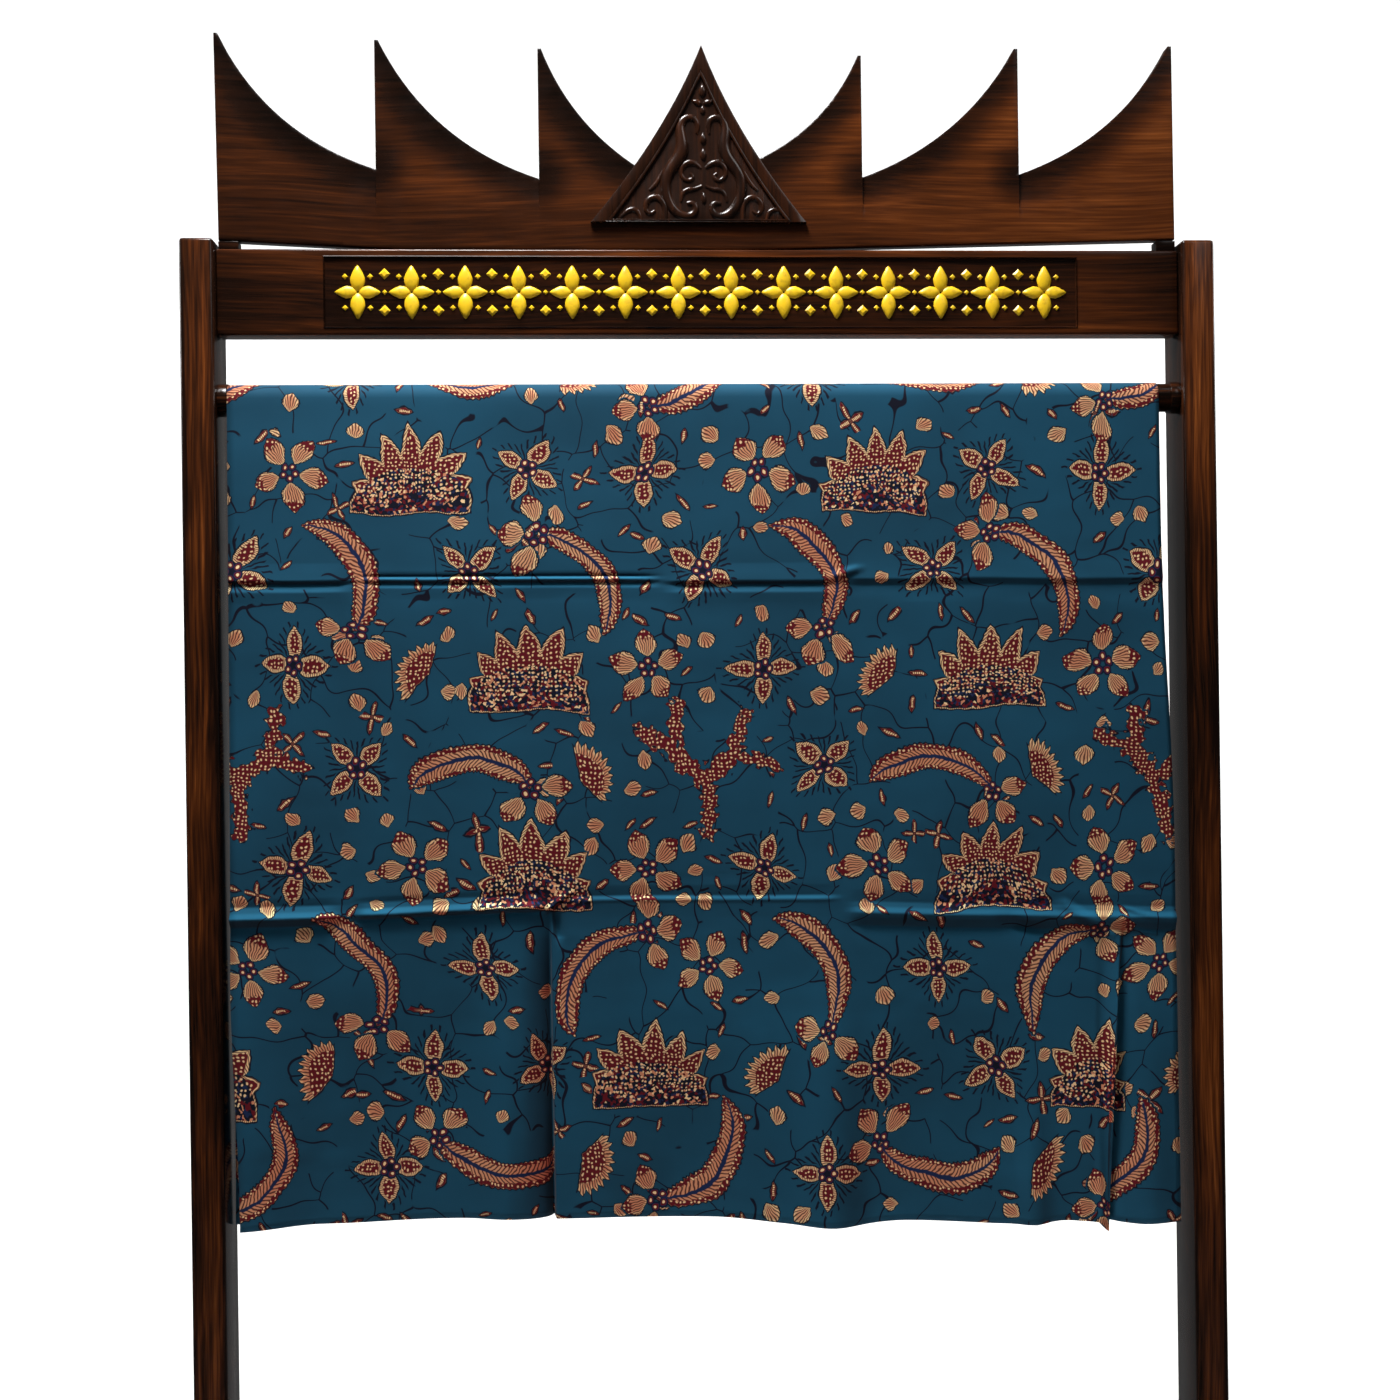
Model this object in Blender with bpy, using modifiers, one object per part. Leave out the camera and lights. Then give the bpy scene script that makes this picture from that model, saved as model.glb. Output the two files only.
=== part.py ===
"""A dyed cloth hung over the rod of a free-standing wooden display rack.

Units are metres, +Z is up and the front of the rack looks along -Y. The origin is on the floor,
under the middle of the rack. The cloth is one sheet: its front fall, the turn over the rod and its
back fall. Every size below is the real one.
"""

import math

import bmesh
import bpy
from mathutils import Matrix, Vector

GAP = 0.0003

# The rack: two posts on sled feet, a lettering rail, a low stretcher and a rod.
POST_WIDTH = 0.0375
POST_DEPTH = 0.070
POST_TOP = 1.550
INNER_SPAN = 1.0875
EDGE_SOFTENING = 0.0025

FOOT_WIDTH = 0.055
FOOT_HEIGHT = 0.060
FOOT_LENGTH = 0.480
FOOT_TOE = 0.025

RAIL_TOP = 1.541
RAIL_HEIGHT = 0.096
RAIL_THICKNESS = 0.028
RAIL_FRONT = -0.020
PANEL_HALF_LENGTH = 0.426
PANEL_MARGIN = 0.008
PANEL_DEPTH = 0.003

STRETCHER_BASE = 0.130
STRETCHER_HEIGHT = 0.060
STRETCHER_THICKNESS = 0.028

ROD_RADIUS = 0.016
ROD_SIDES = 40
ROD_Y = -0.008
ROD_Z = 1.374
ROD_SOCKET_DEPTH = 0.012

# The crown: a board sawn into six horns, with a carved gable on its front.
CROWN_HALF_LENGTH = 0.541
CROWN_THICKNESS = 0.018
CROWN_FRONT = -0.018
CROWN_SEAT_FROM = -0.335
CROWN_SEAT_TO = 0.040
CROWN_LIFT_LEFT = 0.0105
CROWN_LIFT_RIGHT = 0.0135
HORN_TIP_FLAT = 0.004
HORN_ARC_STEPS = 12
# The horns of each half, outermost first. They were sawn by eye, so the halves differ a little.
HORNS_RIGHT = (
    dict(tip_x=0.5400, tip_z=1.7760, foot_x=0.3613, foot_z=1.6290, sagitta=0.098),
    dict(tip_x=0.3613, tip_z=1.7717, foot_x=0.1814, foot_z=1.6251, sagitta=0.094),
    dict(tip_x=0.1814, tip_z=1.7625, foot_x=0.0620, foot_z=1.6450, sagitta=0.096),
)
HORNS_LEFT = (
    dict(tip_x=0.5438, tip_z=1.7820, foot_x=0.3667, foot_z=1.6321, sagitta=0.111),
    dict(tip_x=0.3667, tip_z=1.7755, foot_x=0.1850, foot_z=1.6221, sagitta=0.108),
    dict(tip_x=0.1850, tip_z=1.7675, foot_x=0.0620, foot_z=1.6285, sagitta=0.090),
)
BLOCK_WIDTH = 0.022
BLOCK_SHARE = 0.84

GABLE_APEX = 1.7705
GABLE_BASE = 1.5705
GABLE_SLOPE = 0.39
GABLE_FLARE = 1.10
GABLE_OFF_MIDDLE = -0.001
GABLE_LEAN = -0.024
GABLE_THICKNESS = 0.006
GABLE_STEPS = 10
GABLE_BORDER = 0.014
GABLE_FIELD_DEPTH = 0.0025
BACKING_INSET = 0.006

# The cloth. Drops are measured down from the height of the rod's axis.
CLOTH_THICKNESS = 0.0015
CLOTH_SEAT_GAP = 0.0005
CLOTH_HALF_WIDTH_TOP = 0.525
CLOTH_HALF_WIDTH_HEM = 0.529
FRONT_FALL = 0.926
BACK_FALL = 0.922
# It hangs a little askew: its hem is this much lower for each metre to the right.
SKEW = 0.026
# It lies this much to the left of the rod's middle. Its right edge stands out below the top, and its
# left hem is drawn in.
OFF_MIDDLE = -0.0075
DRAWN_RIGHT = 0.0095
BACK_SWING = 0.010
BACK_SWAY = 0.005
BACK_WAVES = 6.0
TURN_STEPS = 10

# Columns of the sheet: each band runs to its end in that many equal steps.
COLUMN_START = -1.0
COLUMN_BANDS = (
    dict(to=-0.44, steps=6),
    dict(to=-0.36, steps=4),
    dict(to=-0.32, steps=6),
    dict(to=-0.24, steps=3),
    dict(to=0.20, steps=5),
    dict(to=0.38, steps=5),
    dict(to=0.78, steps=4),
    dict(to=0.92, steps=14),
    dict(to=1.00, steps=3),
)
FRONT_BANDS = (
    dict(to=0.18, steps=3),
    dict(to=0.24, steps=5),
    dict(to=0.54, steps=4),
    dict(to=0.61, steps=5),
    dict(to=FRONT_FALL, steps=6),
)
BACK_BANDS = (
    dict(to=0.24, steps=3),
    dict(to=0.61, steps=3),
    dict(to=BACK_FALL, steps=3),
)

# Old fold lines across the sheet, one row for each third of its width: the ridge stands forward
# of the fall, or behind it where it is negative.
CROSS_CREASES = (
    dict(drop=0.209, x_from=-0.56, x_to=-0.17, ridge=0.005, half=0.020),
    dict(drop=0.207, x_from=-0.17, x_to=0.155, ridge=0.006, half=0.020),
    dict(drop=0.212, x_from=0.155, x_to=0.56, ridge=0.005, half=0.022),
    dict(drop=0.576, x_from=-0.56, x_to=-0.17, ridge=0.010, half=0.022),
    dict(drop=0.567, x_from=-0.17, x_to=0.155, ridge=0.004, half=0.020),
    dict(drop=0.584, x_from=0.155, x_to=0.56, ridge=0.011, half=0.030),
)
CREASE_FADE = 0.012

# Folds that run down to the front hem. Each grows from its start to the hem.
FALL_FOLDS = (
    dict(x=-0.530, start=0.30, forward=0.014, half=0.110),
    dict(x=-0.330, start=0.50, forward=-0.006, half=0.110),
    dict(x=-0.232, start=0.54, forward=0.007, half=0.045),
    dict(x=-0.040, start=0.60, forward=-0.005, half=0.110),
    dict(x=0.137, start=0.55, forward=0.010, half=0.050),
    dict(x=0.363, start=0.70, forward=0.007, half=0.025),
    dict(x=0.449, start=0.58, forward=-0.008, half=0.016),
    dict(x=0.500, start=0.60, forward=0.007, half=0.034),
)

# The valley at the left sinks slowly from its left and stands up sharply at its right.
VALLEY_X = -0.177
VALLEY_START = 0.555
VALLEY_FULL = 0.680
VALLEY_DEPTH = 0.020
VALLEY_SLOPE = 0.034
VALLEY_WALL = 0.007

# The pleat near the right edge, which doubles the sheet back on itself.
PLEAT_X = 0.4705
PLEAT_LEAN = -0.045
PLEAT_SPAN = 0.018
PLEAT_TAKE_UP = 0.023
PLEAT_LIP = 0.010
PLEAT_REACH = 0.022
PLEAT_START = 0.56
PLEAT_FULL = 0.78

# The hem is uneven: how much lower it hangs at each place along it.
HEM = (
    dict(x=-0.540, lower=0.008),
    dict(x=-0.440, lower=0.002),
    dict(x=-0.240, lower=-0.003),
    dict(x=-0.186, lower=-0.002),
    dict(x=-0.100, lower=-0.003),
    dict(x=0.000, lower=-0.003),
    dict(x=0.137, lower=0.008),
    dict(x=0.220, lower=0.001),
    dict(x=0.363, lower=0.006),
    dict(x=0.400, lower=0.002),
    dict(x=0.450, lower=0.013),
    dict(x=0.470, lower=0.002),
    dict(x=0.540, lower=0.004),
)

WOOD = (0.085, 0.032, 0.014)
DARK_WOOD = (0.030, 0.014, 0.009)
INDIGO = (0.016, 0.095, 0.150)


def clear_scene():
    for leftover in list(bpy.data.objects):
        bpy.data.objects.remove(leftover)


def new_collection(name, hidden=False):
    collection = bpy.data.collections.new(name)
    collection.hide_render = hidden
    bpy.context.scene.collection.children.link(collection)
    return collection


def finish(name, colour, roughness):
    material = bpy.data.materials.new(name)
    material.use_nodes = True
    shader = material.node_tree.nodes["Principled BSDF"]
    shader.inputs["Base Color"].default_value = (*colour, 1.0)
    shader.inputs["Roughness"].default_value = roughness
    shader.inputs["Metallic"].default_value = 0.0
    return material


def put(obj, collection, material):
    for home in list(obj.users_collection):
        home.objects.unlink(obj)
    collection.objects.link(obj)
    if material:
        obj.data.materials.append(material)
    return obj


def soften(obj, width=EDGE_SOFTENING, segments=1):
    bevel = obj.modifiers.new("softened edges", "BEVEL")
    bevel.width = width
    bevel.segments = segments
    bevel.limit_method = "ANGLE"
    bevel.angle_limit = math.radians(50)


def bar(name, low, high, collection, material):
    """A squared piece of timber between two corners."""
    low, high = Vector(low), Vector(high)
    bpy.ops.mesh.primitive_cube_add(size=1.0, location=(low + high) / 2)
    obj = bpy.context.object
    obj.name = name
    obj.data.transform(Matrix.Diagonal((*(high - low), 1.0)))
    return put(obj, collection, material)


def board(name, outline, thickness, front, collection, material):
    """A board sawn to an outline of (x, z) points, its front face at y = front."""
    curve = bpy.data.curves.new(name, "CURVE")
    curve.dimensions = "2D"
    curve.fill_mode = "BOTH"
    curve.extrude = thickness / 2
    spline = curve.splines.new("POLY")
    spline.points.add(len(outline) - 1)
    for point, (x, z) in zip(spline.points, outline):
        point.co = (x, z, 0.0, 1.0)
    spline.use_cyclic_u = True
    drawn = bpy.data.objects.new(name + "_outline", curve)
    bpy.context.scene.collection.objects.link(drawn)
    bpy.context.view_layer.update()
    graph = bpy.context.evaluated_depsgraph_get()
    mesh = bpy.data.meshes.new_from_object(drawn.evaluated_get(graph))
    bpy.data.objects.remove(drawn)
    shape = bmesh.new()
    shape.from_mesh(mesh)
    bmesh.ops.remove_doubles(shape, verts=shape.verts, dist=0.00001)
    bmesh.ops.recalc_face_normals(shape, faces=shape.faces)
    shape.to_mesh(mesh)
    shape.free()
    obj = bpy.data.objects.new(name, mesh)
    obj.rotation_euler = (math.radians(90), 0.0, 0.0)
    obj.location = (0.0, front + thickness / 2, 0.0)
    return put(obj, collection, material)


def cut(obj, cutter):
    boolean = obj.modifiers.new("cut by " + cutter.name, "BOOLEAN")
    boolean.operation = "DIFFERENCE"
    boolean.solver = "EXACT"
    boolean.object = cutter
    cutter.display_type = "WIRE"
    cutter.hide_render = True


def rod_shape(name, radius, low_x, high_x, collection, material):
    bpy.ops.mesh.primitive_cylinder_add(
        vertices=ROD_SIDES,
        radius=radius,
        depth=high_x - low_x,
        location=((low_x + high_x) / 2, ROD_Y, ROD_Z),
        rotation=(0.0, math.radians(90), 0.0),
    )
    obj = bpy.context.object
    obj.name = name
    obj.data.shade_smooth()
    obj.data.set_sharp_from_angle(angle=math.radians(30))
    return put(obj, collection, material)


def make_posts(parts, cutters, wood):
    for name, side in (("post_left", -1), ("post_right", 1)):
        inner = side * INNER_SPAN / 2
        outer = side * (INNER_SPAN / 2 + POST_WIDTH)
        post = bar(
            name,
            (min(inner, outer), -POST_DEPTH / 2, FOOT_HEIGHT + GAP),
            (max(inner, outer), POST_DEPTH / 2, POST_TOP),
            parts,
            wood,
        )
        soften(post)
        mouth = side * (INNER_SPAN / 2 - ROD_SOCKET_DEPTH)
        end = side * (INNER_SPAN / 2 + ROD_SOCKET_DEPTH)
        socket = rod_shape(
            name + "_socket",
            ROD_RADIUS + GAP,
            min(mouth, end),
            max(mouth, end),
            cutters,
            None,
        )
        cut(post, socket)


def make_feet(parts, wood):
    centre = INNER_SPAN / 2 + POST_WIDTH / 2
    half = FOOT_LENGTH / 2
    for name, side in (("foot_left", -1), ("foot_right", 1)):
        # The foot's side view, drawn along the depth and turned to run front to back.
        outline = (
            (-half, 0.0),
            (half, 0.0),
            (half, FOOT_TOE),
            (POST_DEPTH, FOOT_HEIGHT),
            (-POST_DEPTH, FOOT_HEIGHT),
            (-half, FOOT_TOE),
        )
        foot = board(name, outline, FOOT_WIDTH, -FOOT_WIDTH / 2, parts, wood)
        foot.rotation_euler = (math.radians(90), 0.0, math.radians(90))
        foot.location = (side * centre, 0.0, 0.0)


def make_rails(parts, cutters, wood):
    reach = INNER_SPAN / 2 - GAP
    rail = bar(
        "top_rail",
        (-reach, RAIL_FRONT, RAIL_TOP - RAIL_HEIGHT),
        (reach, RAIL_FRONT + RAIL_THICKNESS, RAIL_TOP),
        parts,
        wood,
    )
    # The sunk panel that carries the ornament.
    panel = bar(
        "panel_cutter",
        (-PANEL_HALF_LENGTH, RAIL_FRONT - PANEL_DEPTH, RAIL_TOP - RAIL_HEIGHT + PANEL_MARGIN),
        (PANEL_HALF_LENGTH, RAIL_FRONT + PANEL_DEPTH, RAIL_TOP - PANEL_MARGIN),
        cutters,
        None,
    )
    cut(rail, panel)
    bar(
        "stretcher",
        (-reach, -STRETCHER_THICKNESS / 2, STRETCHER_BASE),
        (reach, STRETCHER_THICKNESS / 2, STRETCHER_BASE + STRETCHER_HEIGHT),
        parts,
        wood,
    )


def make_rod(parts, wood):
    reach = INNER_SPAN / 2 + ROD_SOCKET_DEPTH - GAP
    rod_shape("cloth_rod", ROD_RADIUS, -reach, reach, parts, wood)


def horn_curve(horn):
    """Points down a horn's hollow back, from its tip to its foot, for the right half."""
    tip = Vector((horn["tip_x"] - HORN_TIP_FLAT, horn["tip_z"]))
    foot = Vector((horn["foot_x"], horn["foot_z"]))
    chord = foot - tip
    hollow = Vector((chord.y, -chord.x)).normalized() * chord.length * horn["sagitta"]
    points = []
    for step in range(HORN_ARC_STEPS + 1):
        share = step / HORN_ARC_STEPS
        points.append(tip + chord * share - hollow * 4 * share * (1 - share))
    return points


def gable_half_width(depth):
    """Half the gable's width at a depth below its apex: nearly straight, flaring at the foot."""
    return GABLE_SLOPE * depth + GABLE_FLARE * depth * depth


def gable_middle(z):
    """Where the gable's middle lies at a height: it leans a little."""
    return GABLE_OFF_MIDDLE + GABLE_LEAN * (GABLE_APEX - z)


def gable_outline(apex, base, inset=0.0):
    """The gable's outline with its sides drawn in by the inset."""
    right = []
    left = []
    for step in range(GABLE_STEPS + 1):
        z = apex + (base - apex) * step / GABLE_STEPS
        half = max(gable_half_width(GABLE_APEX - z) - inset, 0.0)
        right.append((gable_middle(z) + half, z))
        left.append((gable_middle(z) - half, z))
    return right + left[:0:-1]


def gable_height_at(x):
    """The height at which the backing's flank passes x."""
    low, high = GABLE_BASE, GABLE_APEX
    for _ in range(40):
        middle = (low + high) / 2
        if gable_half_width(GABLE_APEX - middle) - BACKING_INSET > x:
            low = middle
        else:
            high = middle
    return low


def crown_half(horns):
    """The points of one half's upper edge, from its outer end to the middle."""
    half = []
    for horn in horns:
        half.append((horn["tip_x"], horn["tip_z"]))
        for point in horn_curve(horn):
            flank = gable_half_width(GABLE_APEX - point.y) - BACKING_INSET
            if point.x > flank:
                half.append((point.x, point.y))
    # Behind the gable the board carries on as a plain point, a little inside the gable's edge.
    last_x, last_z = half[-1]
    apex = GABLE_APEX - 3 * BACKING_INSET
    start = gable_height_at(last_x - 0.002)
    for step in range(GABLE_STEPS + 1):
        z = start + (apex - start) * step / GABLE_STEPS
        half.append((max(gable_half_width(GABLE_APEX - z) - BACKING_INSET, 0.0), z))
    half = [point for i, point in enumerate(half) if i == 0 or Vector(point) != Vector(half[i - 1])]
    return [point for point in half if point[0] > 0.0005]


def crown_outline():
    right = crown_half(HORNS_RIGHT)
    left = [(-x, z) for x, z in reversed(crown_half(HORNS_LEFT))]
    # The lower edge is warped: it sits on the rail along its middle and lifts towards both ends.
    seat = RAIL_TOP + GAP
    below = [
        (-CROWN_HALF_LENGTH, RAIL_TOP + CROWN_LIFT_LEFT),
        (CROWN_SEAT_FROM, seat),
        (CROWN_SEAT_TO, seat),
        (CROWN_HALF_LENGTH, RAIL_TOP + CROWN_LIFT_RIGHT),
    ]
    return below + right + [(0.0, GABLE_APEX - 3 * BACKING_INSET)] + left


def make_crown(parts, cutters, wood, dark_wood):
    board("crown_board", crown_outline(), CROWN_THICKNESS, CROWN_FRONT, parts, wood)
    gable_front = CROWN_FRONT - GAP - GABLE_THICKNESS
    gable = board(
        "crown_gable",
        gable_outline(GABLE_APEX, GABLE_BASE),
        GABLE_THICKNESS,
        gable_front,
        parts,
        dark_wood,
    )
    field = board(
        "gable_field_cutter",
        gable_outline(GABLE_APEX - 3.4 * GABLE_BORDER, GABLE_BASE + GABLE_BORDER / 3, 1.25 * GABLE_BORDER),
        2 * GABLE_FIELD_DEPTH,
        gable_front - GABLE_FIELD_DEPTH,
        cutters,
        None,
    )
    cut(gable, field)
    blocks = (("crown_block_left", -1, CROWN_LIFT_LEFT), ("crown_block_right", 1, CROWN_LIFT_RIGHT))
    for name, side, lift in blocks:
        near = side * (CROWN_HALF_LENGTH - BLOCK_WIDTH)
        far = side * CROWN_HALF_LENGTH
        bar(
            name,
            (min(near, far), CROWN_FRONT, RAIL_TOP + GAP),
            (max(near, far), CROWN_FRONT + CROWN_THICKNESS, RAIL_TOP + lift * BLOCK_SHARE),
            parts,
            dark_wood,
        )


def eased(share):
    share = min(max(share, 0.0), 1.0)
    return share * share * (3 - 2 * share)


def hump(distance, half):
    """A rounded fold's height across it, from 1 on its line to 0 at its foot."""
    return math.cos(min(abs(distance) / half, 1.0) * math.pi / 2) ** 2


def ridge_line(distance, half):
    """A pressed crease's height across it: sharp on the line, fading on both sides."""
    return math.exp(-abs(distance) / half * 2)


def crease_relief(x, drop):
    relief = 0.0
    for crease in CROSS_CREASES:
        inside = eased((x - crease["x_from"]) / CREASE_FADE) * eased((crease["x_to"] - x) / CREASE_FADE)
        relief += crease["ridge"] * inside * ridge_line(drop - crease["drop"], crease["half"])
    return relief


def fall_relief(x, drop):
    relief = 0.0
    for fold in FALL_FOLDS:
        growth = eased((drop - fold["start"]) / (FRONT_FALL - fold["start"]))
        relief += fold["forward"] * growth * hump(x - fold["x"], fold["half"])
    return relief


def hem_drop(x):
    """How much lower than the straight line the hem hangs at x."""
    for before, after in zip(HEM, HEM[1:]):
        if x <= after["x"]:
            share = eased((x - before["x"]) / (after["x"] - before["x"]))
            return before["lower"] + (after["lower"] - before["lower"]) * share
    return HEM[-1]["lower"]


def valley_relief(x, drop):
    """The valley's slow slope down from the left and its steep wall."""
    growth = eased((drop - VALLEY_START) / (VALLEY_FULL - VALLEY_START))
    away = x - VALLEY_X
    share = min(max(1 + away / VALLEY_SLOPE, 0.0), 1.0)
    height = 1 - math.sqrt(1 - share * share) if away < 0 else 1 - eased(away / VALLEY_WALL)
    return -VALLEY_DEPTH * growth * height


def pleat_growth(drop):
    return eased((drop - PLEAT_START) / (PLEAT_FULL - PLEAT_START))


def pleat_line(drop):
    """Where the pleat's fold runs at a drop: it leans inwards on its way down."""
    return PLEAT_X + PLEAT_LEAN * (drop - PLEAT_START)


def pleat_shift(x, drop):
    """How far the pleat draws the cloth back under itself at x; it is let out again by the edge."""
    start = pleat_line(drop) - PLEAT_SPAN / 2
    end = start + PLEAT_SPAN
    let_out = min(max((CLOTH_HALF_WIDTH_HEM - x) / (CLOTH_HALF_WIDTH_HEM - end), 0.0), 1.0)
    return PLEAT_TAKE_UP * pleat_growth(drop) * eased((x - start) / PLEAT_SPAN) * let_out


def pleat_relief(x, drop):
    """The pleat's lip stands forward and the cloth beyond it starts behind."""
    before = pleat_line(drop) - PLEAT_SPAN / 4
    after = before + PLEAT_SPAN / 2
    if x < before:
        height = hump(x - before, PLEAT_REACH)
    elif x > after:
        height = -hump(x - after, PLEAT_REACH)
    else:
        height = math.cos((x - before) / (after - before) * math.pi)
    return PLEAT_LIP * pleat_growth(drop) * height


def cloth_point(across, along):
    """The place of one point of the sheet's middle surface.

    across runs from -1 to 1 over the width. along is ("front", drop), ("turn", angle) or
    ("back", drop).
    """
    part, value = along
    seat = ROD_RADIUS + CLOTH_SEAT_GAP + CLOTH_THICKNESS / 2
    top_x = across * CLOTH_HALF_WIDTH_TOP + OFF_MIDDLE
    if part == "turn":
        return Vector((top_x, ROD_Y - seat * math.cos(value), ROD_Z + seat * math.sin(value)))
    if part == "front":
        share = value / FRONT_FALL
        x = across * (CLOTH_HALF_WIDTH_TOP + (CLOTH_HALF_WIDTH_HEM - CLOTH_HALF_WIDTH_TOP) * share)
        near_rod = eased(value / 0.06)
        relief = crease_relief(x, value) + fall_relief(x, value)
        relief += valley_relief(x, value) + pleat_relief(x, value)
        drop = value + SKEW * x * share + hem_drop(x) * eased((share - 0.7) / 0.3)
        drawn = eased((value - 0.15) / 0.35 if across > 0 else (value - 0.65) / 0.27)
        x += OFF_MIDDLE - pleat_shift(x, value) + DRAWN_RIGHT * across * across * drawn
        return Vector((x, ROD_Y - seat - near_rod * relief, ROD_Z - drop))
    # The back fall hangs almost plain: it swings a little to the left and sways gently.
    share = value / BACK_FALL
    sway = BACK_SWAY * share * (1 + math.sin(BACK_WAVES * across))
    drop = value + BACK_SWAY * share * math.sin(BACK_WAVES * across + 1)
    return Vector((top_x - BACK_SWING * share, ROD_Y + seat + sway, ROD_Z - drop))


def stations(start, bands):
    """The places that the bands' equal steps give, the start included."""
    places = [start]
    for band in bands:
        first = places[-1]
        for step in range(1, band["steps"] + 1):
            places.append(first + (band["to"] - first) * step / band["steps"])
    return places


def make_cloth(parts, dyed):
    columns = stations(COLUMN_START, COLUMN_BANDS)
    front = [("front", drop) for drop in reversed(stations(0.0, FRONT_BANDS))]
    turn = [("turn", math.pi * step / TURN_STEPS) for step in range(1, TURN_STEPS)]
    back = [("back", drop) for drop in stations(0.0, BACK_BANDS)]
    rows = front + turn + back
    mesh = bpy.data.meshes.new("batik_cloth")
    sheet = bmesh.new()
    bmesh.ops.create_grid(sheet, x_segments=len(columns) - 1, y_segments=len(rows) - 1, size=1.0)
    for vertex in sheet.verts:
        column = round((vertex.co.x + 1) / 2 * (len(columns) - 1))
        row = round((vertex.co.y + 1) / 2 * (len(rows) - 1))
        vertex.co = cloth_point(columns[column], rows[row])
    sheet.to_mesh(mesh)
    sheet.free()
    cloth = bpy.data.objects.new("batik_cloth", mesh)
    mesh.shade_smooth()
    thickness = cloth.modifiers.new("thickness", "SOLIDIFY")
    thickness.thickness = CLOTH_THICKNESS
    thickness.offset = 0.0
    return put(cloth, parts, dyed)


def main():
    clear_scene()
    parts = new_collection("cloth_on_rack")
    cutters = new_collection("cutters", hidden=True)
    wood = finish("stained wood", WOOD, 0.35)
    dark_wood = finish("dark stained wood", DARK_WOOD, 0.35)
    dyed = finish("dyed cotton", INDIGO, 0.8)
    make_posts(parts, cutters, wood)
    make_feet(parts, wood)
    make_rails(parts, cutters, wood)
    make_rod(parts, dark_wood)
    make_crown(parts, cutters, wood, dark_wood)
    make_cloth(parts, dyed)


main()
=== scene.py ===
import math

import bmesh
import bpy
from mathutils import Matrix, Vector, noise


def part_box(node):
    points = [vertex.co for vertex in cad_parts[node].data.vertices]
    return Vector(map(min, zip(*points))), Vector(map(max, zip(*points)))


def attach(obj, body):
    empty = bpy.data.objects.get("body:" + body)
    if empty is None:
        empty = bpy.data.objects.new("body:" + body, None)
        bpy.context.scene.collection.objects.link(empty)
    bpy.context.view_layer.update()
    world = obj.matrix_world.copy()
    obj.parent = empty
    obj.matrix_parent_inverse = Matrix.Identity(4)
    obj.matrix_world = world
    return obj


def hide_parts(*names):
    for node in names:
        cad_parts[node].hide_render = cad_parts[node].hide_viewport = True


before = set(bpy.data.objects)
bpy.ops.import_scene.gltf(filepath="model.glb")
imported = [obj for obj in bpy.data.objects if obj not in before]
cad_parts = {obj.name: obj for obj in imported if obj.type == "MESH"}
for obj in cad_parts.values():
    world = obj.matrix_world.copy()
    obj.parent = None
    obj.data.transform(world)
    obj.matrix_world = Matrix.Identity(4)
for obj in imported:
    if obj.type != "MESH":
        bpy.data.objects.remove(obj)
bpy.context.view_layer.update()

X, Y, Z = range(3)

# The posts: two squared lengths of hardwood with their arrises rubbed round, stained walnut brown
# and varnished to a gloss. The grain runs up them, and the stain is darkest along the corners.


class Value:
    """A number or colour somewhere in a finish; arithmetic on it adds Math nodes."""

    def __init__(self, finish, socket):
        self.finish = finish
        self.socket = socket

    def math(self, operation, *others, clamp=False):
        settings = {"operation": operation, "use_clamp": clamp}
        return self.finish.add("Math", settings, dict(enumerate((self,) + others)))

    def __add__(self, other):
        return self.math("ADD", other)

    def __sub__(self, other):
        return self.math("SUBTRACT", other)

    def __rsub__(self, other):
        return self.math("MULTIPLY_ADD", -1.0, other)

    def __mul__(self, other):
        return self.math("MULTIPLY", other)

    def __truediv__(self, other):
        return self.math("DIVIDE", other)

    def __mod__(self, other):
        return self.math("FLOORED_MODULO", other)

    def __neg__(self):
        return self.math("MULTIPLY", -1.0)

    def __abs__(self):
        return self.math("ABSOLUTE")

    __radd__ = __add__
    __rmul__ = __mul__

    def at_least(self, other):
        return self.math("MAXIMUM", other)

    def at_most(self, other):
        return self.math("MINIMUM", other)

    def clamped(self):
        return self.math("ADD", 0.0, clamp=True)

    def zigzag(self, height):
        """Runs up to a height and down again, over and over."""
        return self.math("PINGPONG", height)

    def below(self, limit, soft):
        """1 where this is under the limit, 0 where it is over it, with a soft edge."""
        if isinstance(limit, Value):
            return (limit - self).math("MULTIPLY_ADD", 1 / soft, 0.5, clamp=True)
        return self.math("MULTIPLY_ADD", -1 / soft, limit / soft + 0.5, clamp=True)

    def above(self, limit, soft):
        """1 where this is over the limit, 0 where it is under it, with a soft edge."""
        return self.math("MULTIPLY_ADD", 1 / soft, 0.5 - limit / soft, clamp=True)


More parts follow.
